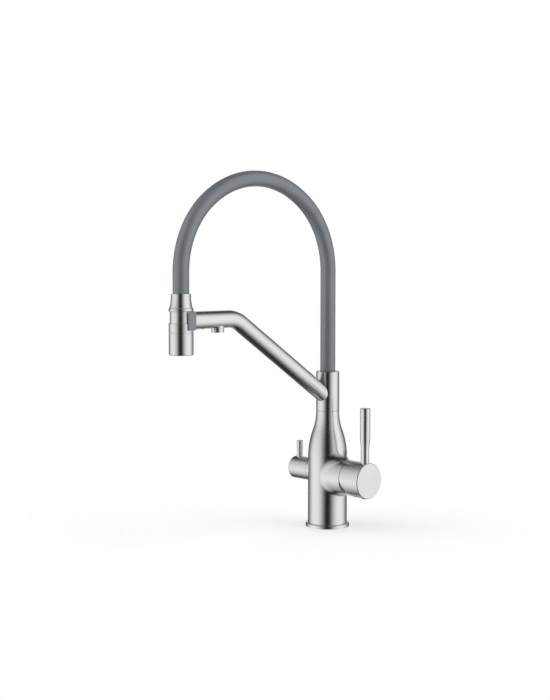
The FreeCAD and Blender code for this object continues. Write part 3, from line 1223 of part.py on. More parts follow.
def make_mixer_cap():
    """Round cap over the cartridge, cut on a slant below so that it can tilt."""
    axis = (0, 0, d.mixer_height)
    rim = d.boss_face + d.cap_rim_gap
    hollow = d.boss_radius - d.cap_wall
    floor = d.cap_face - d.cap_face_thickness
    shell = turned("cap_shell", "X", [
        (rim, hollow),
        (floor, hollow),
        (floor, d.cap_hub_radius),
        (d.cap_hub_start, d.cap_hub_radius),
        (d.cap_hub_start, 0),
        (d.cap_face, 0),
        (d.cap_face, d.boss_radius - d.cap_bevel),
        (d.cap_face - d.cap_bevel, d.boss_radius),
        (rim, d.boss_radius),
    ], axis)
    pad_end = leg(d.boss_radius, d.cap_pad_radius) - d.fit_gap
    inner = d.cap_hub_radius - OVERRUN
    lever_pad = rod("lever_pad", d.cap_pad_radius, pad_end - inner,
                    (d.lever_distance, 0, d.mixer_height + inner))
    grub_pad = rod("grub_pad", d.cap_pad_radius, pad_end - inner,
                   (d.grub_distance, 0, d.mixer_height - pad_end))
    whole = join("cap_whole", shell, lever_pad, grub_pad)

    wedge_size = d.boss_radius * 3
    wedge = block("cap_wedge_cut", (wedge_size, wedge_size, wedge_size),
                  (rim, -wedge_size / 2, d.mixer_height))
    lean = FreeCAD.Rotation(FreeCAD.Vector(0, 1, 0), 180 - d.cap_wedge.value)
    wedge.Placement.Rotation = lean
    bind(wedge, "Placement.Rotation.Angle", 180 - d.cap_wedge)
    socket_side = d.stem_side + d.fit_gap
    socket_start = d.cap_hub_start - OVERRUN
    socket = block("stem_socket",
                   (d.stem_end + d.fit_gap * 2 - socket_start, socket_side, socket_side),
                   (socket_start, -socket_side / 2, d.mixer_height - socket_side / 2))
    lever_hole = rod("lever_hole", d.lever_foot_radius + d.fit_gap / 2, d.boss_radius,
                     (d.lever_distance, 0, d.mixer_height + d.lever_seat))
    thread_start = d.mixer_height + d.lever_thread_end - d.fit_gap
    lever_thread = rod("lever_thread_hole", d.lever_thread_radius + d.fit_gap / 2,
                       d.lever_seat - d.lever_thread_end + OVERRUN,
                       (d.lever_distance, 0, thread_start))
    grub_hole = rod("grub_hole", d.grub_radius + d.fit_gap / 2, d.plug_inner,
                    (d.grub_distance, 0, d.mixer_height - d.plug_inner))
    plug_hole = rod("plug_hole", d.plug_radius + d.fit_gap / 2, d.boss_radius,
                    (d.grub_distance, 0, d.mixer_height - d.plug_inner - d.boss_radius))
    keep(cut("cap_cut", whole, wedge, socket, lever_hole, lever_thread, grub_hole, plug_hole),
         "mixer_cap")


def make_lever():
    """Upright lever pin, the cap's grub screw and the plug over it."""
    base = (d.lever_distance, 0, 0)
    seat = d.mixer_height + d.lever_seat
    lever = turned("lever", "Z", [
        (0, d.mixer_height + d.lever_thread_end),
        (d.lever_thread_radius, d.mixer_height + d.lever_thread_end),
        (d.lever_thread_radius, seat),
        (d.lever_foot_radius, seat),
        (d.lever_foot_radius, d.lever_taper_start),
        (d.lever_top_radius, d.lever_taper_end),
        (d.lever_top_radius, d.lever_top - d.lever_top_bevel),
        (d.lever_top_radius - d.lever_top_bevel, d.lever_top),
        (0, d.lever_top),
    ], base)
    keep(lever, "mixer_lever")

    tip = d.mixer_height - d.stem_side / 2 - d.fit_gap
    grub = rod("grub", d.grub_radius, d.grub_length, (d.grub_distance, 0, tip - d.grub_length))
    key = rod("grub_key", d.grub_radius / 2, d.grub_key_depth + OVERRUN,
              (d.grub_distance, 0, tip - d.grub_length - OVERRUN))
    keep(cut("grub_socketed", grub, key), "cap_grub_screw")
    plug_low = d.mixer_height - d.boss_radius - d.plug_stand
    plug = rod("plug", d.plug_radius, d.boss_radius + d.plug_stand - d.plug_inner,
               (d.grub_distance, 0, plug_low))
    keep(plug, "grub_screw_plug")


def make_filter_valve():
    """Quarter-turn ceramic valve for filtered water, fixed in the body."""
    axis = (0, 0, d.valve_height)
    disc_start = d.valve_disc_seat
    half_groove = d.shell_ring_wire + d.fit_gap / 2
    groove_radius = d.valve_shell_radius - d.shell_ring_wire * 2
    shell = turned("valve_shell", "X", [
        (d.valve_bore_start + d.valve_floor_gap, d.valve_inlet_radius),
        (disc_start, d.valve_inlet_radius),
        (disc_start, d.valve_chamber_radius),
        (d.valve_chamber_end, d.valve_chamber_radius),
        (d.valve_chamber_end, d.spindle_radius + d.running_gap),
        (d.valve_neck_end, d.spindle_radius + d.running_gap),
        (d.valve_neck_end, d.valve_neck_radius),
        (d.valve_flange_end, d.valve_neck_radius),
        (d.valve_flange_end, d.valve_shell_radius),
        (d.shell_ring_distance + half_groove, d.valve_shell_radius),
        (d.shell_ring_distance + half_groove, groove_radius),
        (d.shell_ring_distance - half_groove, groove_radius),
        (d.shell_ring_distance - half_groove, d.valve_shell_radius),
        (d.valve_nose_end, d.valve_shell_radius),
        (d.valve_nose_end, d.valve_nose_radius),
        (d.valve_bore_start + d.valve_floor_gap, d.valve_nose_radius),
    ], axis, HALF_TURN)
    hexagon = doc.addObject("Part::Prism", "valve_hexagon")
    hexagon.Polygon = 6
    bind(hexagon, "Circumradius", d.valve_flange_radius)
    bind(hexagon, "Height", d.valve_flange_end - d.valve_boss_face)
    place(hexagon, (-d.valve_flange_end, 0, d.valve_height), ALONG_X)
    shaft_hole = rod("hexagon_hole", d.valve_shell_radius - OVERRUN, d.hub_end,
                     (-d.hub_end, 0, d.valve_height), ALONG_X)
    collar = cut("hexagon_bored", hexagon, shaft_hole)
    window = rod("valve_window", d.valve_window_radius, d.valve_shell_radius * 2,
                 (-d.valve_window_distance, 0, d.valve_height))
    keep(cut("valve_shell_cut", join("valve_shell_joined", shell, collar), window),
         "filter_valve_shell")
    seal = ring("shell_seal", d.valve_shell_radius - d.shell_ring_wire, d.shell_ring_wire,
                (-d.shell_ring_distance, 0, d.valve_height), ALONG_X)
    keep(seal, "filter_valve_seal")

    holes = []
    for number, side in enumerate((1, -1), start=1):
        holes.append(rod(f"small_fixed_hole_{number}", d.small_disc_hole,
                         d.small_disc_thickness + OVERRUN * 2,
                         (-disc_start - d.small_disc_thickness - OVERRUN,
                          0, d.valve_height + d.small_disc_pitch * side), ALONG_X))
    disc = rod("small_fixed", d.valve_chamber_radius - d.fit_gap, d.small_disc_thickness,
               (-disc_start - d.small_disc_thickness, 0, d.valve_height), ALONG_X)
    keep(cut("small_fixed_drilled", disc, *holes), "filter_fixed_disc")


def make_filter_handle():
    """Spindle, moving disc, hub, pin and screw that turn together."""
    disc_start = d.valve_disc_seat + d.small_disc_thickness
    disc_end = disc_start + d.small_disc_thickness
    disc = rod("small_moving", d.spindle_head_radius, d.small_disc_thickness,
               (-disc_end, 0, d.valve_height), ALONG_X)
    holes = []
    for number, side in enumerate((1, -1), start=1):
        holes.append(rod(f"small_moving_hole_{number}", d.small_disc_hole,
                         d.small_disc_thickness + OVERRUN * 2,
                         (-disc_end - OVERRUN, d.small_disc_pitch * side, d.valve_height), ALONG_X))
    keep(cut("small_moving_drilled", disc, *holes), "filter_moving_disc")

    axis = (0, 0, d.valve_height)
    spindle = turned("spindle", "X", [
        (disc_end, 0),
        (disc_end, d.spindle_head_radius),
        (d.valve_window_distance - d.valve_window_radius, d.spindle_head_radius),
        (d.valve_window_distance - d.valve_window_radius, d.spindle_waist_radius),
        (d.valve_window_distance + d.valve_window_radius, d.spindle_waist_radius),
        (d.valve_window_distance + d.valve_window_radius, d.spindle_head_radius),
        (d.valve_chamber_end - d.fit_gap, d.spindle_head_radius),
        (d.valve_chamber_end - d.fit_gap, d.spindle_radius),
        (d.spindle_end, d.spindle_radius),
        (d.spindle_end, 0),
    ], axis, HALF_TURN)
    ways = []
    for number, side in enumerate((1, -1), start=1):
        ways.append(rod(f"spindle_way_{number}", d.small_disc_hole,
                        d.valve_window_distance - disc_end,
                        (-d.valve_window_distance, d.small_disc_pitch * side,
                         d.valve_height), ALONG_X))
    keep(cut("spindle_drilled", spindle, *ways), "filter_spindle")

    start = d.valve_boss_face + d.seam_gap
    hub = turned("hub", "X", [
        (start, d.hub_cavity_radius),
        (d.hub_cavity_end, d.hub_cavity_radius),
        (d.hub_cavity_end, d.spindle_radius + d.fit_gap / 2),
        (d.spindle_end + d.fit_gap, d.spindle_radius + d.fit_gap / 2),
        (d.spindle_end + d.fit_gap, 0),
        (d.hub_end, 0),
        (d.hub_end, d.hub_radius - d.hub_edge),
        (d.hub_end - d.hub_edge, d.hub_radius, d.hub_edge, LEFT),
        (start, d.hub_radius),
    ], axis, HALF_TURN)
    pin_hole = rod("pin_hole", d.pin_radius + d.fit_gap / 2, d.hub_radius,
                   (-d.pin_distance, 0, d.valve_height + d.pin_seat))
    thread_low = d.valve_height + d.pin_thread_end - d.fit_gap
    pin_thread = rod("pin_thread_hole", d.pin_thread_radius + d.fit_gap / 2, d.pin_seat,
                     (-d.pin_distance, 0, thread_low))
    screw_hole = rod("hub_screw_hole", d.hub_screw_radius + d.fit_gap / 2, d.hub_radius,
                     (-d.hub_screw_distance, 0, d.valve_height - d.hub_radius))
    keep(cut("hub_drilled", hub, pin_hole, pin_thread, screw_hole), "filter_hub")

    pin = turned("small_pin", "Z", [
        (0, d.valve_height + d.pin_thread_end),
        (d.pin_thread_radius, d.valve_height + d.pin_thread_end),
        (d.pin_thread_radius, d.valve_height + d.pin_seat),
        (d.pin_radius, d.valve_height + d.pin_seat),
        (d.pin_radius, d.pin_top - d.pin_bevel),
        (d.pin_radius - d.pin_bevel, d.pin_top),
        (0, d.pin_top),
    ], (-d.pin_distance, 0, 0))
    keep(pin, "filter_pin")

    tip = d.valve_height - d.spindle_radius - d.fit_gap
    screw = rod("hub_screw", d.hub_screw_radius, d.hub_screw_length,
                (-d.hub_screw_distance, 0, tip - d.hub_screw_length))
    key = rod("hub_screw_key", d.hub_screw_radius / 2, d.hub_key_depth + OVERRUN,
              (-d.hub_screw_distance, 0, tip - d.hub_screw_length - OVERRUN))
    keep(cut("hub_screw_socketed", screw, key), "filter_grub_screw")


def check_and_write():
    """Stops on any failed object or bad shape, then writes one file for each sub-part."""
    doc.recompute()
    failed = [o.Label for o in doc.Objects if "Invalid" in o.State or "Error" in o.State]
    if failed:
        raise RuntimeError(f"failed objects: {failed}")
    for part in subparts:
        shape = part.Shape
        if shape.isNull() or not shape.isValid() or not shape.Solids:
            raise RuntimeError(f"{part.Label} has no valid solid")
    os.makedirs("parts", exist_ok=True)
    for part in subparts:
        part.Shape.exportStep(f"parts/{part.Label}.step")
        box = part.Shape.BoundBox
        print(f"{part.Label:26s} solids {len(part.Shape.Solids)} volume {part.Shape.Volume:10.1f}"
              f"  x {box.XMin:7.2f} {box.XMax:7.2f}  y {box.YMin:8.2f} {box.YMax:7.2f}"
              f"  z {box.ZMin:7.2f} {box.ZMax:7.2f}")
    print("sub-parts:", len(subparts))


make_base()
make_body()
make_swivel_core()
make_collar()
make_arm()
make_dock()
make_hose()
make_head()
make_spray_ring()
make_cartridge()
make_rotor()
make_disc_carrier()
make_stem()
make_mixer_cap()
make_lever()
make_filter_valve()
make_filter_handle()
check_and_write()
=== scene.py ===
"""Looks of the kitchen mixer tap: materials, light, camera and the fine pieces.

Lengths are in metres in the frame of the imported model: +Z up, the spout along
-Y, the mixer handle at +X and the small valve at -X.
"""
import json
import math

import bmesh
import bpy
from mathutils import Matrix, Vector


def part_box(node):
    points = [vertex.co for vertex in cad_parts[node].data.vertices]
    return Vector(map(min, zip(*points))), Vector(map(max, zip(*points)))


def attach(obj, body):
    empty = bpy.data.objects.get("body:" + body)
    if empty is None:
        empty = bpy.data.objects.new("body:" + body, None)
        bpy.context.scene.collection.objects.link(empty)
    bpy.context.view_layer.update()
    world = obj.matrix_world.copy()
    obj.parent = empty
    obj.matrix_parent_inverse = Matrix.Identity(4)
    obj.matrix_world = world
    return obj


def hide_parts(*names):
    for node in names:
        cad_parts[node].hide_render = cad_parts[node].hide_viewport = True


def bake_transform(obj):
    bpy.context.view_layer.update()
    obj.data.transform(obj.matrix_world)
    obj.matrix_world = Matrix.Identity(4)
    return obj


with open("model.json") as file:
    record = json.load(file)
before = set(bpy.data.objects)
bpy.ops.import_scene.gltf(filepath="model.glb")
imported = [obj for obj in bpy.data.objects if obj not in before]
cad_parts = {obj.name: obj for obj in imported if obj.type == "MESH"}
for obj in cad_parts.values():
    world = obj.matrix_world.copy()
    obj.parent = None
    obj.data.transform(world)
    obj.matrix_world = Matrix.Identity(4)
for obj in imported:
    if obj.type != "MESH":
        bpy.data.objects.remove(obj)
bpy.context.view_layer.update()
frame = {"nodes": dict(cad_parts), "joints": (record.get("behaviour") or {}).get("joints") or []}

NODES = frame["nodes"]
JOINT_PLACES = {joint["name"]: joint["pos_m"] for joint in frame["joints"] if "pos_m" in joint}


# Places of the CAD nodes

def middle(node):
    """Centre of a node's box."""
    low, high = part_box(node)
    return (low + high) / 2


def underside(node):
    """Height of a node's lowest point."""
    low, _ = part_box(node)
    return low.z


# Axes of the CAD pieces
MIXER_Z = JOINT_PLACES["mixer_temperature"][2]
VALVE_Z = JOINT_PLACES["filter_valve"][2]
HEAD_Y = JOINT_PLACES["spray_mode"][1]
LEVER_X = middle("mixer_lever").x
PIN_X = middle("filter_pin").x
ARM_Z = middle("head_dock").z
NOZZLE_Y = middle("filter_aerator").y

# Hose: its radius, the heights of its two ends and of the arch's start, the arch's rise, the turn of its
# side arcs in degrees, and the number of points round it and along its stretches
HOSE_RADIUS = 0.00915
HOSE_START = underside("hose_sleeve")
HOSE_END = 0.28
HOSE_SPRING = 0.3126
HOSE_RISE = 0.1074
HOSE_SIDE_TURN = 50.0
HOSE_SIDES = 40
LEG_STEPS = 12
ARCH_STEPS = 90
END_STEPS = 6

# Outlines as (radius, height) for pieces that are turned about an upright axis, with the heights from
# the underside of the ferrule for the lip and the grey ring of painted shade in the crease, and from that
# of the spray face for a nub
LIP_OUTLINE = ((0.0130, 0.00015), (0.0134, 0.00015), (0.0138, 0.0005), (0.01392, 0.001),
               (0.01392, 0.0021), (0.01374, 0.003), (0.0134, 0.0037), (0.0129, 0.0038))
CREASE_SHADE_OUTLINE = ((0.0128, 0.0036), (0.01318, 0.0036), (0.0131, 0.00405), (0.0128, 0.00405))
NUB_OUTLINE = ((0.0002, 0.0019), (0.0005, 0.0019), (0.0005, 0.00005), (0.0009, 0),
               (0.00085, -0.00015), (0.0006, -0.0003), (0.00048, -0.0007), (0.0003, -0.0008),
               (0.0002, -0.0006))
LIP_SIDES = 72
NUB_SIDES = 16

# Nubs of the spray face
NUB_COUNT = 12
NUB_CIRCLE = 0.0094

# Screens under the two aerators: the rim, and the wires across it
RIM_INSET = 0.0001
RIM_WIDTH = 0.0009
RIM_BEVEL = 0.0002
RIM_STEP = 0.00015
RIM_HEIGHT = 0.0003
WIRE_INSET = 0.0007
WIRE_PITCH = 0.0008
WIRE_HALF = 0.00013
WIRE_LIMIT = 8
LOWER_WIRE = 0.00006
UPPER_WIRE = 0.00016

# Threads in the ports under the foot, with the ridge's half width and depth as shares of the pitch
INLET_CENTRES = ((0.001, 0.0095), (0.001, -0.0095), (-0.012, 0))
INLET_RADIUS = 0.0045
STUD_CENTRE = (0.0125, 0)
STUD_RADIUS = 0.0034
THREAD_PITCH = 0.001
THREAD_LOW = 0.0016
THREAD_HIGH = 0.0136
THREAD_STEPS_PER_TURN = 24
THREAD_ROOT = 0.0001
RIDGE_HALF_WIDTH = 0.42
RIDGE_DEPTH = 0.35

# Camera: its own azimuth and downward tilt in degrees, its place, and its lens and sensor in millimetres
CAMERA_TURN = 46.944
CAMERA_TILT = 4.118
CAMERA_PLACE = (1.13631, -1.14997, 0.33276)
CAMERA_LENS = 68.198
CAMERA_SENSOR = 36
CAMERA_REACH = 100

# Studio: the azimuth from which the camera sees the tap, the backdrop's radius and steps, and the
# levels of light, with the lamps' height above level and their spread in degrees
FRONT = 44.7
DOME = 20.0
DOME_TURNS = 144
DOME_ROWS = 48
FLOOR_HALF = 40.0
FLOOR_GLOW = 0.4
WORLD_LIGHT = 0.38
LAMP_HEIGHT = 52
LAMP_SPREAD = 50
LAMP_DISTANCE = 3

# Shades of the backdrop from black 0 to white 1, as (degrees, shade): by the angle away from the
# front, and by the height above level on the right, on the left, below level and at the back
SIDE_SHADES = ((0, 0.0), (8, 0.01), (16, 0.08), (27, 0.34), (39, 0.65), (51, 0.86), (66, 1.0),
               (90, 1.0), (104, 0.85), (116, 0.6), (128, 0.32), (142, 0.12), (156, 0.04), (180, 0.02))
RIGHT_HEIGHTS = ((0, 1.0), (35, 1.0), (47, 0.75), (60, 0.3), (75, 0.03), (90, 0.0))
LEFT_HEIGHTS = ((0, 0.9), (15, 0.85), (29, 0.73), (45, 0.67), (60, 0.3), (75, 0.0), (90, 0.0))
DEPTHS = ((-90, 0.03), (-83, 0.06), (-70, 0.18), (-54, 0.46), (-39, 0.76), (-22, 0.94), (-8, 1.0),
          (0, 1.0))
BACK_SHADES = ((0, 0.0), (150, 0.0), (160, 0.22), (170, 0.6), (180, 0.7))
BACK_HEIGHTS = ((-90, 0.0), (-55, 0.0), (-30, 1.0), (12, 1.0), (25, 0.6), (40, 0.0), (90, 0.0))

# Textures: how fine each is, with larger numbers for finer ones, and the usual range of a noise
BRUSH_ACROSS = 1020
BRUSH_ALONG = 20
BRUSH_CLOUDS = 28.0
MACHINED_GRAIN = 900.0
MOULD_GRAIN = 1500.0
MOULD_CLOUDS = 45.0
SLEEVE_CLOUDS = 30.0
FLOOR_GRAIN = 250.0
CLOTH_GRAIN = 3.0
NOISE_LOW = 0.3
NOISE_HIGH = 0.7

# Edges of the fine pieces stay sharp from this angle between faces, in degrees
SHARP_FROM = 40

X_AXIS = (1, 0, 0)
Y_AXIS = (0, 1, 0)
Z_AXIS = (0, 0, 1)


# Camera

def make_camera():
    """Camera where the photo's camera stood."""
    turn = math.radians(CAMERA_TURN)
    tilt = math.radians(CAMERA_TILT)
    back = Vector((math.sin(turn) * math.cos(tilt), -math.cos(turn) * math.cos(tilt), math.sin(tilt)))
    right = Vector((math.cos(turn), math.sin(turn), 0))
    up = back.cross(right)
    data = bpy.data.cameras.new("photo_camera")
    data.sensor_fit = "AUTO"
    data.sensor_width = CAMERA_SENSOR
    data.lens = CAMERA_LENS
    data.clip_end = CAMERA_REACH
    camera = bpy.data.objects.new("photo_camera", data)
    bpy.context.scene.collection.objects.link(camera)
    rotation = Matrix((right, up, back)).transposed().to_4x4()
    camera.matrix_world = Matrix.Translation(CAMERA_PLACE) @ rotation
    bpy.context.scene.camera = camera


# Materials

class Nodes:
    """Short calls for a material's nodes and links."""

    def __init__(self, name):
        self.material = bpy.data.materials.new(name)
        self.material.use_nodes = True
        self.tree = self.material.node_tree
        self.shader = self.tree.nodes["Principled BSDF"]
        self.coordinates = self.tree.nodes.new("ShaderNodeTexCoord")

    def add(self, kind, **settings):
        node = self.tree.nodes.new(kind)
        for key, value in settings.items():
            setattr(node, key, value)
        return node

    def link(self, output, target):
        self.tree.links.new(output, target)

    def math(self, operation, first, second):
        node = self.add("ShaderNodeMath", operation=operation)
        for socket, value in zip(node.inputs, (first, second)):
            if isinstance(value, (int, float)):
                socket.default_value = value
            else:
                self.link(value, socket)
        return node.outputs[0]

    def vector(self, operation, first, second):
        node = self.add("ShaderNodeVectorMath", operation=operation)
        for socket, value in zip(node.inputs, (first, second)):
            if isinstance(value, (tuple, Vector)):
                socket.default_value = value
            else:
                self.link(value, socket)
        return node.outputs[0]

    def noise(self, scale, stretch=(1, 1, 1), detail=3.0):
        """Noise in the piece's own coordinates, denser along the axes with a large stretch."""
        mapping = self.add("ShaderNodeMapping")
        mapping.inputs["Scale"].default_value = stretch
        self.link(self.coordinates.outputs["Object"], mapping.inputs["Vector"])
        node = self.add("ShaderNodeTexNoise")
        node.inputs["Scale"].default_value = scale
        node.inputs["Detail"].default_value = detail
        self.link(mapping.outputs["Vector"], node.inputs["Vector"])
        return node.outputs["Fac"]

    def spread(self, value, low, high):
        """Stretches the usual range of a noise to run from low to high."""
        node = self.add("ShaderNodeMapRange")
        node.inputs["From Min"].default_value = NOISE_LOW
        node.inputs["From Max"].default_value = NOISE_HIGH
        node.inputs["To Min"].default_value = low
        node.inputs["To Max"].default_value = high
        self.link(value, node.inputs["Value"])
        return node.outputs["Result"]

    def mixed(self, first, second, share):
        """The first value by its share and the second by the rest."""
        return self.math("ADD", self.math("MULTIPLY", self.spread(first, 0, 1), share),
                         self.math("MULTIPLY", self.spread(second, 0, 1), 1 - share))

    def colours(self, value, first, second):
        """Base colour between two tones."""
        node = self.add("ShaderNodeMix", data_type="RGBA")
        node.inputs["A"].default_value = (*first, 1)
        node.inputs["B"].default_value = (*second, 1)
        self.link(value, node.inputs["Factor"])
        self.link(node.outputs["Result"], self.shader.inputs["Base Color"])

    def bump(self, height, distance, strength):
        node = self.add("ShaderNodeBump")
        node.inputs["Distance"].default_value = distance
        node.inputs["Strength"].default_value = strength
        self.link(height, node.inputs["Height"])
        self.link(node.outputs["Normal"], self.shader.inputs["Normal"])

    def brush_direction(self, centre, axis):
        """Gloss spreads across the brushing, which runs round the axis."""
        arm = self.vector("SUBTRACT", self.coordinates.outputs["Object"], centre)
        around = self.vector("CROSS_PRODUCT", axis, arm)
        across = self.vector("CROSS_PRODUCT", self.coordinates.outputs["Normal"], around)
        turn = self.add("ShaderNodeVectorTransform", vector_type="VECTOR",
                        convert_from="OBJECT", convert_to="WORLD")
        self.link(across, turn.inputs["Vector"])
        self.link(turn.outputs["Vector"], self.shader.inputs["Tangent"])


def brushed_metal(name, centre, axis, anisotropy=0.5):
    """Satin nickel, brushed in rings round an axis through the centre."""
    nodes = Nodes(name)
    line_density = [BRUSH_ACROSS if part else BRUSH_ALONG for part in axis]
    streaks = nodes.noise(1.0, stretch=line_density, detail=2.0)
    clouds = nodes.noise(BRUSH_CLOUDS)
    nodes.colours(nodes.mixed(streaks, clouds, share=0.7), (0.8, 0.8, 0.798), (0.825, 0.825, 0.823))
    nodes.link(nodes.spread(streaks, 0.25, 0.28), nodes.shader.inputs["Roughness"])
    nodes.shader.inputs["Metallic"].default_value = 1.0
    nodes.shader.inputs["Anisotropic"].default_value = anisotropy
    nodes.brush_direction(centre, axis)
    nodes.bump(streaks, distance=0.00002, strength=0.08)
    return nodes.material


def plain_metal(name, dark, light):
    """Machined metal of an inner piece."""
    nodes = Nodes(name)
    grain = nodes.noise(MACHINED_GRAIN)
    nodes.colours(nodes.spread(grain, 0, 1), dark, light)
    nodes.link(nodes.spread(grain, 0.2, 0.35), nodes.shader.inputs["Roughness"])
    nodes.shader.inputs["Metallic"].default_value = 1.0
    nodes.bump(grain, distance=0.00002, strength=0.3)
    return nodes.material


def moulded(name, dark, light, roughness):
    """Rubber or plastic with a fine moulded grain."""
    nodes = Nodes(name)
    fine = nodes.noise(MOULD_GRAIN)
    wide = nodes.noise(MOULD_CLOUDS)
    nodes.colours(nodes.mixed(fine, wide, share=0.5), dark, light)
    nodes.link(nodes.spread(fine, *roughness), nodes.shader.inputs["Roughness"])
    nodes.bump(fine, distance=0.00003, strength=0.4)
    return nodes.material


def sleeve_silicone():
    """Satin grey silicone of the hose's sleeve."""
    nodes = Nodes("sleeve_silicone")
    fine = nodes.noise(MOULD_GRAIN)
    clouds = nodes.noise(SLEEVE_CLOUDS)
    nodes.colours(nodes.spread(clouds, 0, 1), (0.197, 0.205, 0.213), (0.226, 0.234, 0.245))
    nodes.link(nodes.spread(fine, 0.42, 0.5), nodes.shader.inputs["Roughness"])
    nodes.shader.inputs["IOR"].default_value = 2.3
    nodes.shader.inputs["Specular Tint"].default_value = (0.78, 0.9, 1.0, 1)
    nodes.shader.inputs["Coat Weight"].default_value = 0.8
    nodes.shader.inputs["Coat Roughness"].default_value = 0.4
    nodes.bump(fine, distance=0.00002, strength=0.3)
    return nodes.material


def give(material, *names):
    """Puts one material on all slots of the named CAD nodes."""
    for name in names:
        data = NODES[name].data
        data.materials.clear()
        data.materials.append(material)
        for polygon in data.polygons:
            polygon.material_index = 0


def dress_cad_nodes():
    """Gives every CAD node its finish."""
    column = (0, 0, 0)
    head = (0, HEAD_Y, 0)
    mixer = (0, 0, MIXER_Z)
    valve = (0, 0, VALVE_Z)
    give(brushed_metal("nickel_column", column, Z_AXIS), "tap_body", "base_flange", "swivel_collar")
    give(brushed_metal("nickel_arm", (0, 0, ARM_Z), Y_AXIS, anisotropy=0.3), "spout_arm")
    give(brushed_metal("nickel_nozzle", (0, NOZZLE_Y, 0), Z_AXIS), "filter_nozzle")
    give(brushed_metal("nickel_head", head, Z_AXIS), "head_body", "spray_ring", "hose_ferrule")
    give(brushed_metal("nickel_cap", mixer, X_AXIS), "mixer_cap", "trim_bell")
    give(brushed_metal("nickel_lever", (LEVER_X, 0, 0), Z_AXIS), "mixer_lever")
    give(brushed_metal("nickel_hub", valve, X_AXIS), "filter_hub")
    give(brushed_metal("nickel_pin", (PIN_X, 0, 0), Z_AXIS), "filter_pin")
    give(plain_metal("machined_brass", (0.62, 0.46, 0.2), (0.8, 0.62, 0.3)), "swivel_core", "hose_nipple",
         "hose_end_fitting", "cartridge_nut", "filter_valve_shell", "filter_spindle", "cartridge_stem")
    give(plain_metal("steel_screws", (0.4, 0.4, 0.41), (0.6, 0.6, 0.61)), "collar_set_screw",
         "dock_set_screw", "cap_grub_screw", "filter_grub_screw", "stem_pivot_pin")
    give(moulded("dock_plastic", (0.33, 0.365, 0.41), (0.38, 0.415, 0.465), (0.4, 0.5)), "head_dock")
    give(moulded("seal_rubber", (0.012, 0.012, 0.013), (0.03, 0.03, 0.032), (0.5, 0.65)), "base_seal",
         "swivel_seal_ring_low", "swivel_seal_ring_middle", "swivel_seal_ring_high", "cartridge_seal_hot",
         "cartridge_seal_cold", "cartridge_seal_mixed", "filter_valve_seal", "grub_screw_plug")
    give(moulded("inner_plastic", (0.62, 0.62, 0.6), (0.74, 0.74, 0.72), (0.35, 0.5)), "cartridge_shell",
         "cartridge_base", "disc_carrier", "cartridge_rotor", "filter_water_tube", "outlet_elbow",
         "check_valve", "spray_diverter", "filter_aerator", "head_aerator")
    give(moulded("ceramic", (0.82, 0.81, 0.79), (0.9, 0.89, 0.87), (0.08, 0.15)), "fixed_ceramic_disc",
         "moving_ceramic_disc", "filter_fixed_disc", "filter_moving_disc")
    give(moulded("dark_plastic", (0.09, 0.095, 0.1), (0.13, 0.135, 0.14), (0.45, 0.6)), "spray_face",
         "swivel_washer")


# Fine pieces

def mesh_piece(name, points, faces, material, body, slot):
    """A smooth piece that rides on a body; its slot is not used."""
    data = bpy.data.meshes.new(name)
    data.from_pydata(points, [], faces)
    shape = bmesh.new()
    shape.from_mesh(data)
    bmesh.ops.recalc_face_normals(shape, faces=shape.faces)
    shape.to_mesh(data)
    shape.free()
    data.shade_smooth()
    data.set_sharp_from_angle(angle=math.radians(SHARP_FROM))
    data.materials.append(material)
    piece = bpy.data.objects.new(name, data)
    bpy.context.scene.collection.objects.link(piece)
    if body:
        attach(piece, body)
    return piece


def ring_faces(first, second, sides):
    """Faces between two rings of points that start at the given numbers."""
    return [(first + side, first + (side + 1) % sides, second + (side + 1) % sides, second + side)
            for side in range(sides)]


def turned(outline, centre, base, sides=48):
    """Points and faces of a closed outline turned about an upright axis, with heights from a base."""
    points = []
    for radius, height in outline:
        for side in range(sides):
            turn = 2 * math.pi * side / sides
            points.append((centre[0] + radius * math.cos(turn), centre[1] + radius * math.sin(turn),
                           base + height))
    faces = []
    for row in range(len(outline)):
        faces += ring_faces(row * sides, (row + 1) % len(outline) * sides, sides)
    return points, faces


def joined(shapes):
    """One set of points and faces from several."""
    points, faces = [], []
    for more_points, more_faces in shapes:
        offset = len(points)
        points += more_points
        faces += [tuple(offset + corner for corner in face) for face in more_faces]
    return points, faces


def hose_stations():
    """Places along the hose's axis as (reach, height, angle from upright): legs and three tangent arcs."""
    span = -HEAD_Y
    side_turn = math.radians(HOSE_SIDE_TURN)
    flatness = (1 - math.sin(side_turn)) / math.cos(side_turn)
    side_radius = (HOSE_RISE - span / 2 * flatness) / (1 - flatness)
    top_radius = side_radius + (span / 2 - side_radius) / math.cos(side_turn)
    top_centre = HOSE_SPRING + HOSE_RISE - top_radius
    stations = [(0, HOSE_START + (HOSE_SPRING - HOSE_START) * step / LEG_STEPS, 0)
                for step in range(LEG_STEPS)]
    for step in range(ARCH_STEPS + 1):
        turn = math.pi * step / ARCH_STEPS
        if turn <= side_turn:
            place = (side_radius * (1 - math.cos(turn)), HOSE_SPRING + side_radius * math.sin(turn))
        elif turn < math.pi - side_turn:
            place = (span / 2 - top_radius * math.cos(turn), top_centre + top_radius * math.sin(turn))
        else:
            place = (span - side_radius * (1 + math.cos(turn)), HOSE_SPRING + side_radius * math.sin(turn))
        stations.append((*place, turn))
    stations += [(span, HOSE_SPRING - (HOSE_SPRING - HOSE_END) * step / END_STEPS, math.pi)
                 for step in range(1, END_STEPS + 1)]
    return stations


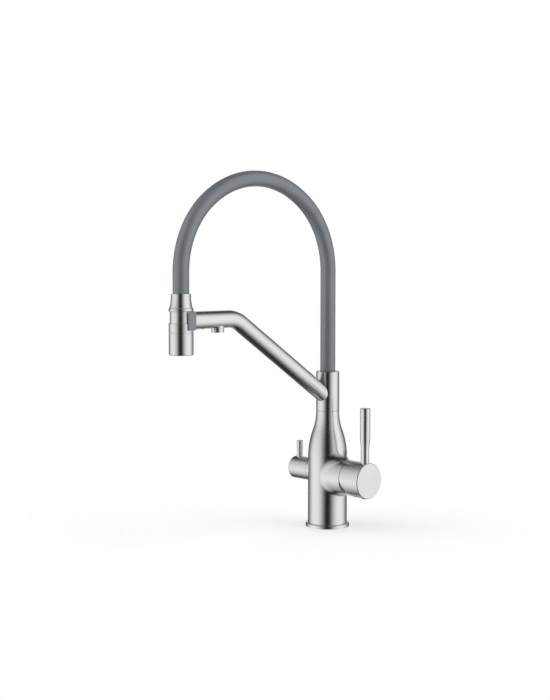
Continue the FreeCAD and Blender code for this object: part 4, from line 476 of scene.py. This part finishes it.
def make_hose():
    """The grey sleeve from the collar's socket over the arch into the ferrule."""
    points, faces = [], []
    for reach, height, turn in hose_stations():
        for side in range(HOSE_SIDES):
            angle = 2 * math.pi * side / HOSE_SIDES
            away = HOSE_RADIUS * math.cos(angle)
            points.append((HOSE_RADIUS * math.sin(angle), -(reach - math.cos(turn) * away),
                           height + math.sin(turn) * away))
    last_row = len(points) - HOSE_SIDES
    for first in range(0, last_row, HOSE_SIDES):
        faces += ring_faces(first, first + HOSE_SIDES, HOSE_SIDES)
    faces.append(tuple(range(HOSE_SIDES)))
    faces.append(tuple(range(last_row, len(points))))
    hose = mesh_piece("hose_arch", points, faces, sleeve_silicone(), None, "sleeve_grey")
    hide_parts("hose_sleeve", "inner_hose")
    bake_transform(hose)


def make_ferrule_ring():
    """Raised lip of the ferrule, with a grey ring above it that is painted shade in the crease."""
    centre = (0, HEAD_Y)
    base = underside("hose_ferrule")
    nickel = NODES["hose_ferrule"].data.materials[0]
    lip = turned(LIP_OUTLINE, centre, base, LIP_SIDES)
    mesh_piece("ferrule_lip_ring", *lip, nickel, "spray_head", "brushed_nickel")
    # The crease ring is a grey band of painted shade, put where the crease above the lip falls dark.
    crease = turned(CREASE_SHADE_OUTLINE, centre, base, LIP_SIDES)
    painted_shade_grey = moulded("crease_painted_shade", (0.33, 0.33, 0.33), (0.38, 0.38, 0.38), (0.5, 0.6))
    mesh_piece("ferrule_painted_shade_ring", *crease, painted_shade_grey, "spray_head", "seal_black")


def make_spray_nubs():
    """Soft nubs in the holes of the spray face."""
    base = underside("spray_face")
    nubs = []
    for number in range(NUB_COUNT):
        turn = 2 * math.pi * number / NUB_COUNT
        centre = (NUB_CIRCLE * math.sin(turn), HEAD_Y + NUB_CIRCLE * math.cos(turn))
        nubs.append(turned(NUB_OUTLINE, centre, base, NUB_SIDES))
    soft = moulded("nub_silicone", (0.42, 0.43, 0.44), (0.5, 0.51, 0.52), (0.5, 0.6))
    mesh_piece("spray_nubs", *joined(nubs), soft, "spray_selector", "spray_grey")


def make_screens():
    """Screens of the two outlets."""
    make_screen("head_aerator_screen", "head_aerator", "spray_selector")
    make_screen("nozzle_screen", "filter_aerator", "spout")


def make_screen(name, aerator, body):
    """Rim and crossed wires on the underside of an aerator."""
    low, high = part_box(aerator)
    centre = (0, (low.y + high.y) / 2)
    radius = high.x - RIM_INSET
    base = low.z - RIM_HEIGHT
    rim = ((radius - RIM_WIDTH, 0), (radius - RIM_BEVEL, 0), (radius, RIM_STEP), (radius, RIM_HEIGHT),
           (radius - RIM_WIDTH, RIM_HEIGHT))
    shapes = [turned(rim, centre, base)]
    reach = radius - WIRE_INSET
    for step in range(-WIRE_LIMIT, WIRE_LIMIT + 1):
        offset = step * WIRE_PITCH
        if abs(offset) < reach:
            length = math.sqrt(reach**2 - offset**2)
            shapes.append(wire(centre, length, offset, base + LOWER_WIRE, along_x=True))
            shapes.append(wire(centre, length, offset, base + UPPER_WIRE, along_x=False))
    steel = NODES["dock_set_screw"].data.materials[0]
    mesh_piece(name, *joined(shapes), steel, body, "steel_screw")


def wire(centre, length, offset, low, along_x):
    """Straight bar of a screen, at an offset from the centre."""
    points = []
    for end in (-length, length):
        for side, up in ((-WIRE_HALF, 0), (WIRE_HALF, 0), (WIRE_HALF, WIRE_HALF), (-WIRE_HALF, WIRE_HALF)):
            across, along = (end, offset + side) if along_x else (offset + side, end)
            points.append((centre[0] + across, centre[1] + along, low + up))
    return points, [(0, 1, 2, 3), (7, 6, 5, 4)] + ring_faces(0, 4, 4)


def thread(centre, radius):
    """Ridge of an internal thread as a helix with a three-cornered section."""
    steps = int((THREAD_HIGH - THREAD_LOW) / THREAD_PITCH * THREAD_STEPS_PER_TURN)
    root = radius + THREAD_ROOT
    crest = radius - THREAD_PITCH * RIDGE_DEPTH
    half_width = THREAD_PITCH * RIDGE_HALF_WIDTH
    points = []
    for step in range(steps + 1):
        turn = 2 * math.pi * step / THREAD_STEPS_PER_TURN
        height = THREAD_LOW + THREAD_PITCH * step / THREAD_STEPS_PER_TURN
        for reach, up in ((root, -half_width), (crest, 0), (root, half_width)):
            points.append((centre[0] + reach * math.cos(turn), centre[1] + reach * math.sin(turn),
                           height + up))
    faces = []
    for step in range(steps):
        faces += ring_faces(step * 3, step * 3 + 3, 3)
    faces += [(0, 1, 2), (steps * 3 + 2, steps * 3 + 1, steps * 3)]
    return points, faces


def make_threads():
    """Threads of the three inlets and the fixing stud's hole under the foot."""
    threads = [thread(centre, INLET_RADIUS) for centre in INLET_CENTRES]
    threads.append(thread(STUD_CENTRE, STUD_RADIUS))
    cast = NODES["tap_body"].data.materials[0]
    mesh_piece("foot_threads", *joined(threads), cast, "tap_base", "brushed_nickel")


# Floor, world and lamps

def make_floor():
    """Plain pale floor that keeps the object's shadow."""
    data = bpy.data.meshes.new("floor")
    corners = [(FLOOR_HALF * x, FLOOR_HALF * y, 0) for x, y in ((-1, -1), (1, -1), (1, 1), (-1, 1))]
    data.from_pydata(corners, [], [(0, 1, 2, 3)])
    floor = bpy.data.objects.new("floor", data)
    bpy.context.scene.collection.objects.link(floor)
    nodes = Nodes("floor_paper")
    grain = nodes.noise(FLOOR_GRAIN)
    nodes.colours(nodes.spread(grain, 0, 1), (0.9, 0.9, 0.9), (0.94, 0.94, 0.94))
    nodes.shader.inputs["Roughness"].default_value = 0.9
    nodes.shader.inputs["Specular IOR Level"].default_value = 0.0
    nodes.shader.inputs["Emission Color"].default_value = (1, 1, 1, 1)
    glow = by_ray(nodes.tree, light_level=0.0, seen_level=FLOOR_GLOW)
    nodes.link(glow, nodes.shader.inputs["Emission Strength"])
    data.materials.append(nodes.material)
    floor.visible_glossy = False


def by_ray(tree, light_level, seen_level):
    """One level for light, and another for rays from the camera or through a reflection or glass."""
    path = tree.nodes.new("ShaderNodeLightPath")
    seen = path.outputs["Is Camera Ray"]
    for name in ("Is Glossy Ray", "Is Transmission Ray"):
        either = tree.nodes.new("ShaderNodeMath")
        either.operation = "MAXIMUM"
        tree.links.new(seen, either.inputs[0])
        tree.links.new(path.outputs[name], either.inputs[1])
        seen = either.outputs[0]
    level = tree.nodes.new("ShaderNodeMapRange")
    level.inputs["To Min"].default_value = light_level
    level.inputs["To Max"].default_value = seen_level
    tree.links.new(seen, level.inputs["Value"])
    return level.outputs["Result"]


def make_world():
    """White surroundings, dimmer as a light than they look."""
    world = bpy.data.worlds.new("studio")
    world.use_nodes = True
    bpy.context.scene.world = world
    background = world.node_tree.nodes["Background"]
    background.inputs["Color"].default_value = (1, 1, 1, 1)
    level = by_ray(world.node_tree, light_level=WORLD_LIGHT, seen_level=1.0)
    world.node_tree.links.new(level, background.inputs["Strength"])


def direction(azimuth, height):
    """Unit vector; azimuth 0 is -Y and 90 is +X, height is the angle above level."""
    turn = math.radians(azimuth)
    rise = math.radians(height)
    return Vector((math.sin(turn) * math.cos(rise), -math.cos(turn) * math.cos(rise), math.sin(rise)))


def lamp(name, azimuth, strength):
    """Large soft lamp that lights everything evenly and that no reflection shows."""
    data = bpy.data.lights.new(name, "SUN")
    data.energy = strength
    data.angle = math.radians(LAMP_SPREAD)
    thing = bpy.data.objects.new(name, data)
    bpy.context.scene.collection.objects.link(thing)
    towards = direction(azimuth, LAMP_HEIGHT)
    thing.location = towards * LAMP_DISTANCE
    thing.rotation_euler = towards.to_track_quat("Z", "Y").to_euler()
    thing.visible_glossy = False


def make_lamps():
    """One lamp on each side of the camera."""
    lamp("lamp_left", azimuth=-28, strength=0.62)
    lamp("lamp_right", azimuth=118, strength=0.5)


# Backdrop that only reflections show

def between(value, table):
    """Straight-line reading of a table of (place, shade) rows."""
    for (low, first), (high, second) in zip(table, table[1:]):
        if value <= high:
            share = max(0.0, (value - low) / (high - low))
            return first + (second - first) * share
    return table[-1][1]


def sky_shade(azimuth, height):
    """White at both sides and dark in front and overhead, with a weaker light at the back.

    The light stops lower on the left side, and it fades towards the ground.
    """
    away = abs((azimuth - FRONT + 180) % 360 - 180)
    to_right = (azimuth - FRONT) % 360 < 180
    if height < 0:
        heights = DEPTHS
    else:
        heights = RIGHT_HEIGHTS if to_right else LEFT_HEIGHTS
    side = between(away, SIDE_SHADES) * between(height, heights)
    back = between(away, BACK_SHADES) * between(height, BACK_HEIGHTS)
    return max(side, back)


def make_backdrop():
    """A round backdrop that only reflections show, with a shade that follows the direction."""
    columns = DOME_TURNS + 1
    turns = [FRONT + 360 * step / DOME_TURNS for step in range(columns)]
    points, shades, faces = [], [], []
    for row in range(DOME_ROWS + 1):
        height = -90 + 180 * row / DOME_ROWS
        for turn in turns:
            points.append(direction(turn, height) * DOME)
            shades.append(sky_shade(turn, height))
    for first in range(len(points) - columns):
        if (first + 1) % columns:
            faces.append((first, first + 1, first + columns + 1, first + columns))
    data = bpy.data.meshes.new("backdrop")
    data.from_pydata(points, [], faces)
    shade = data.attributes.new("shade", "FLOAT", "POINT")
    shade.data.foreach_set("value", shades)
    data.materials.append(backdrop_cloth())
    backdrop = bpy.data.objects.new("backdrop", data)
    bpy.context.scene.collection.objects.link(backdrop)
    backdrop.visible_camera = False
    backdrop.visible_diffuse = False
    backdrop.visible_shadow = False
    backdrop.visible_transmission = False


def backdrop_cloth():
    """Dull black cloth that glows by the shade stored on its points."""
    nodes = Nodes("backdrop_cloth")
    grain = nodes.noise(CLOTH_GRAIN)
    nodes.colours(nodes.spread(grain, 0, 1), (0.002, 0.002, 0.002), (0.004, 0.004, 0.004))
    nodes.shader.inputs["Roughness"].default_value = 1.0
    nodes.shader.inputs["Specular IOR Level"].default_value = 0.0
    nodes.shader.inputs["Emission Color"].default_value = (1, 1, 1, 1)
    stored = nodes.add("ShaderNodeAttribute", attribute_name="shade")
    nodes.link(stored.outputs["Fac"], nodes.shader.inputs["Emission Strength"])
    return nodes.material


bpy.context.scene.view_settings.view_transform = "Standard"
make_camera()
dress_cad_nodes()
make_hose()
make_ferrule_ring()
make_spray_nubs()
make_screens()
make_threads()
make_floor()
make_world()
make_lamps()
make_backdrop()
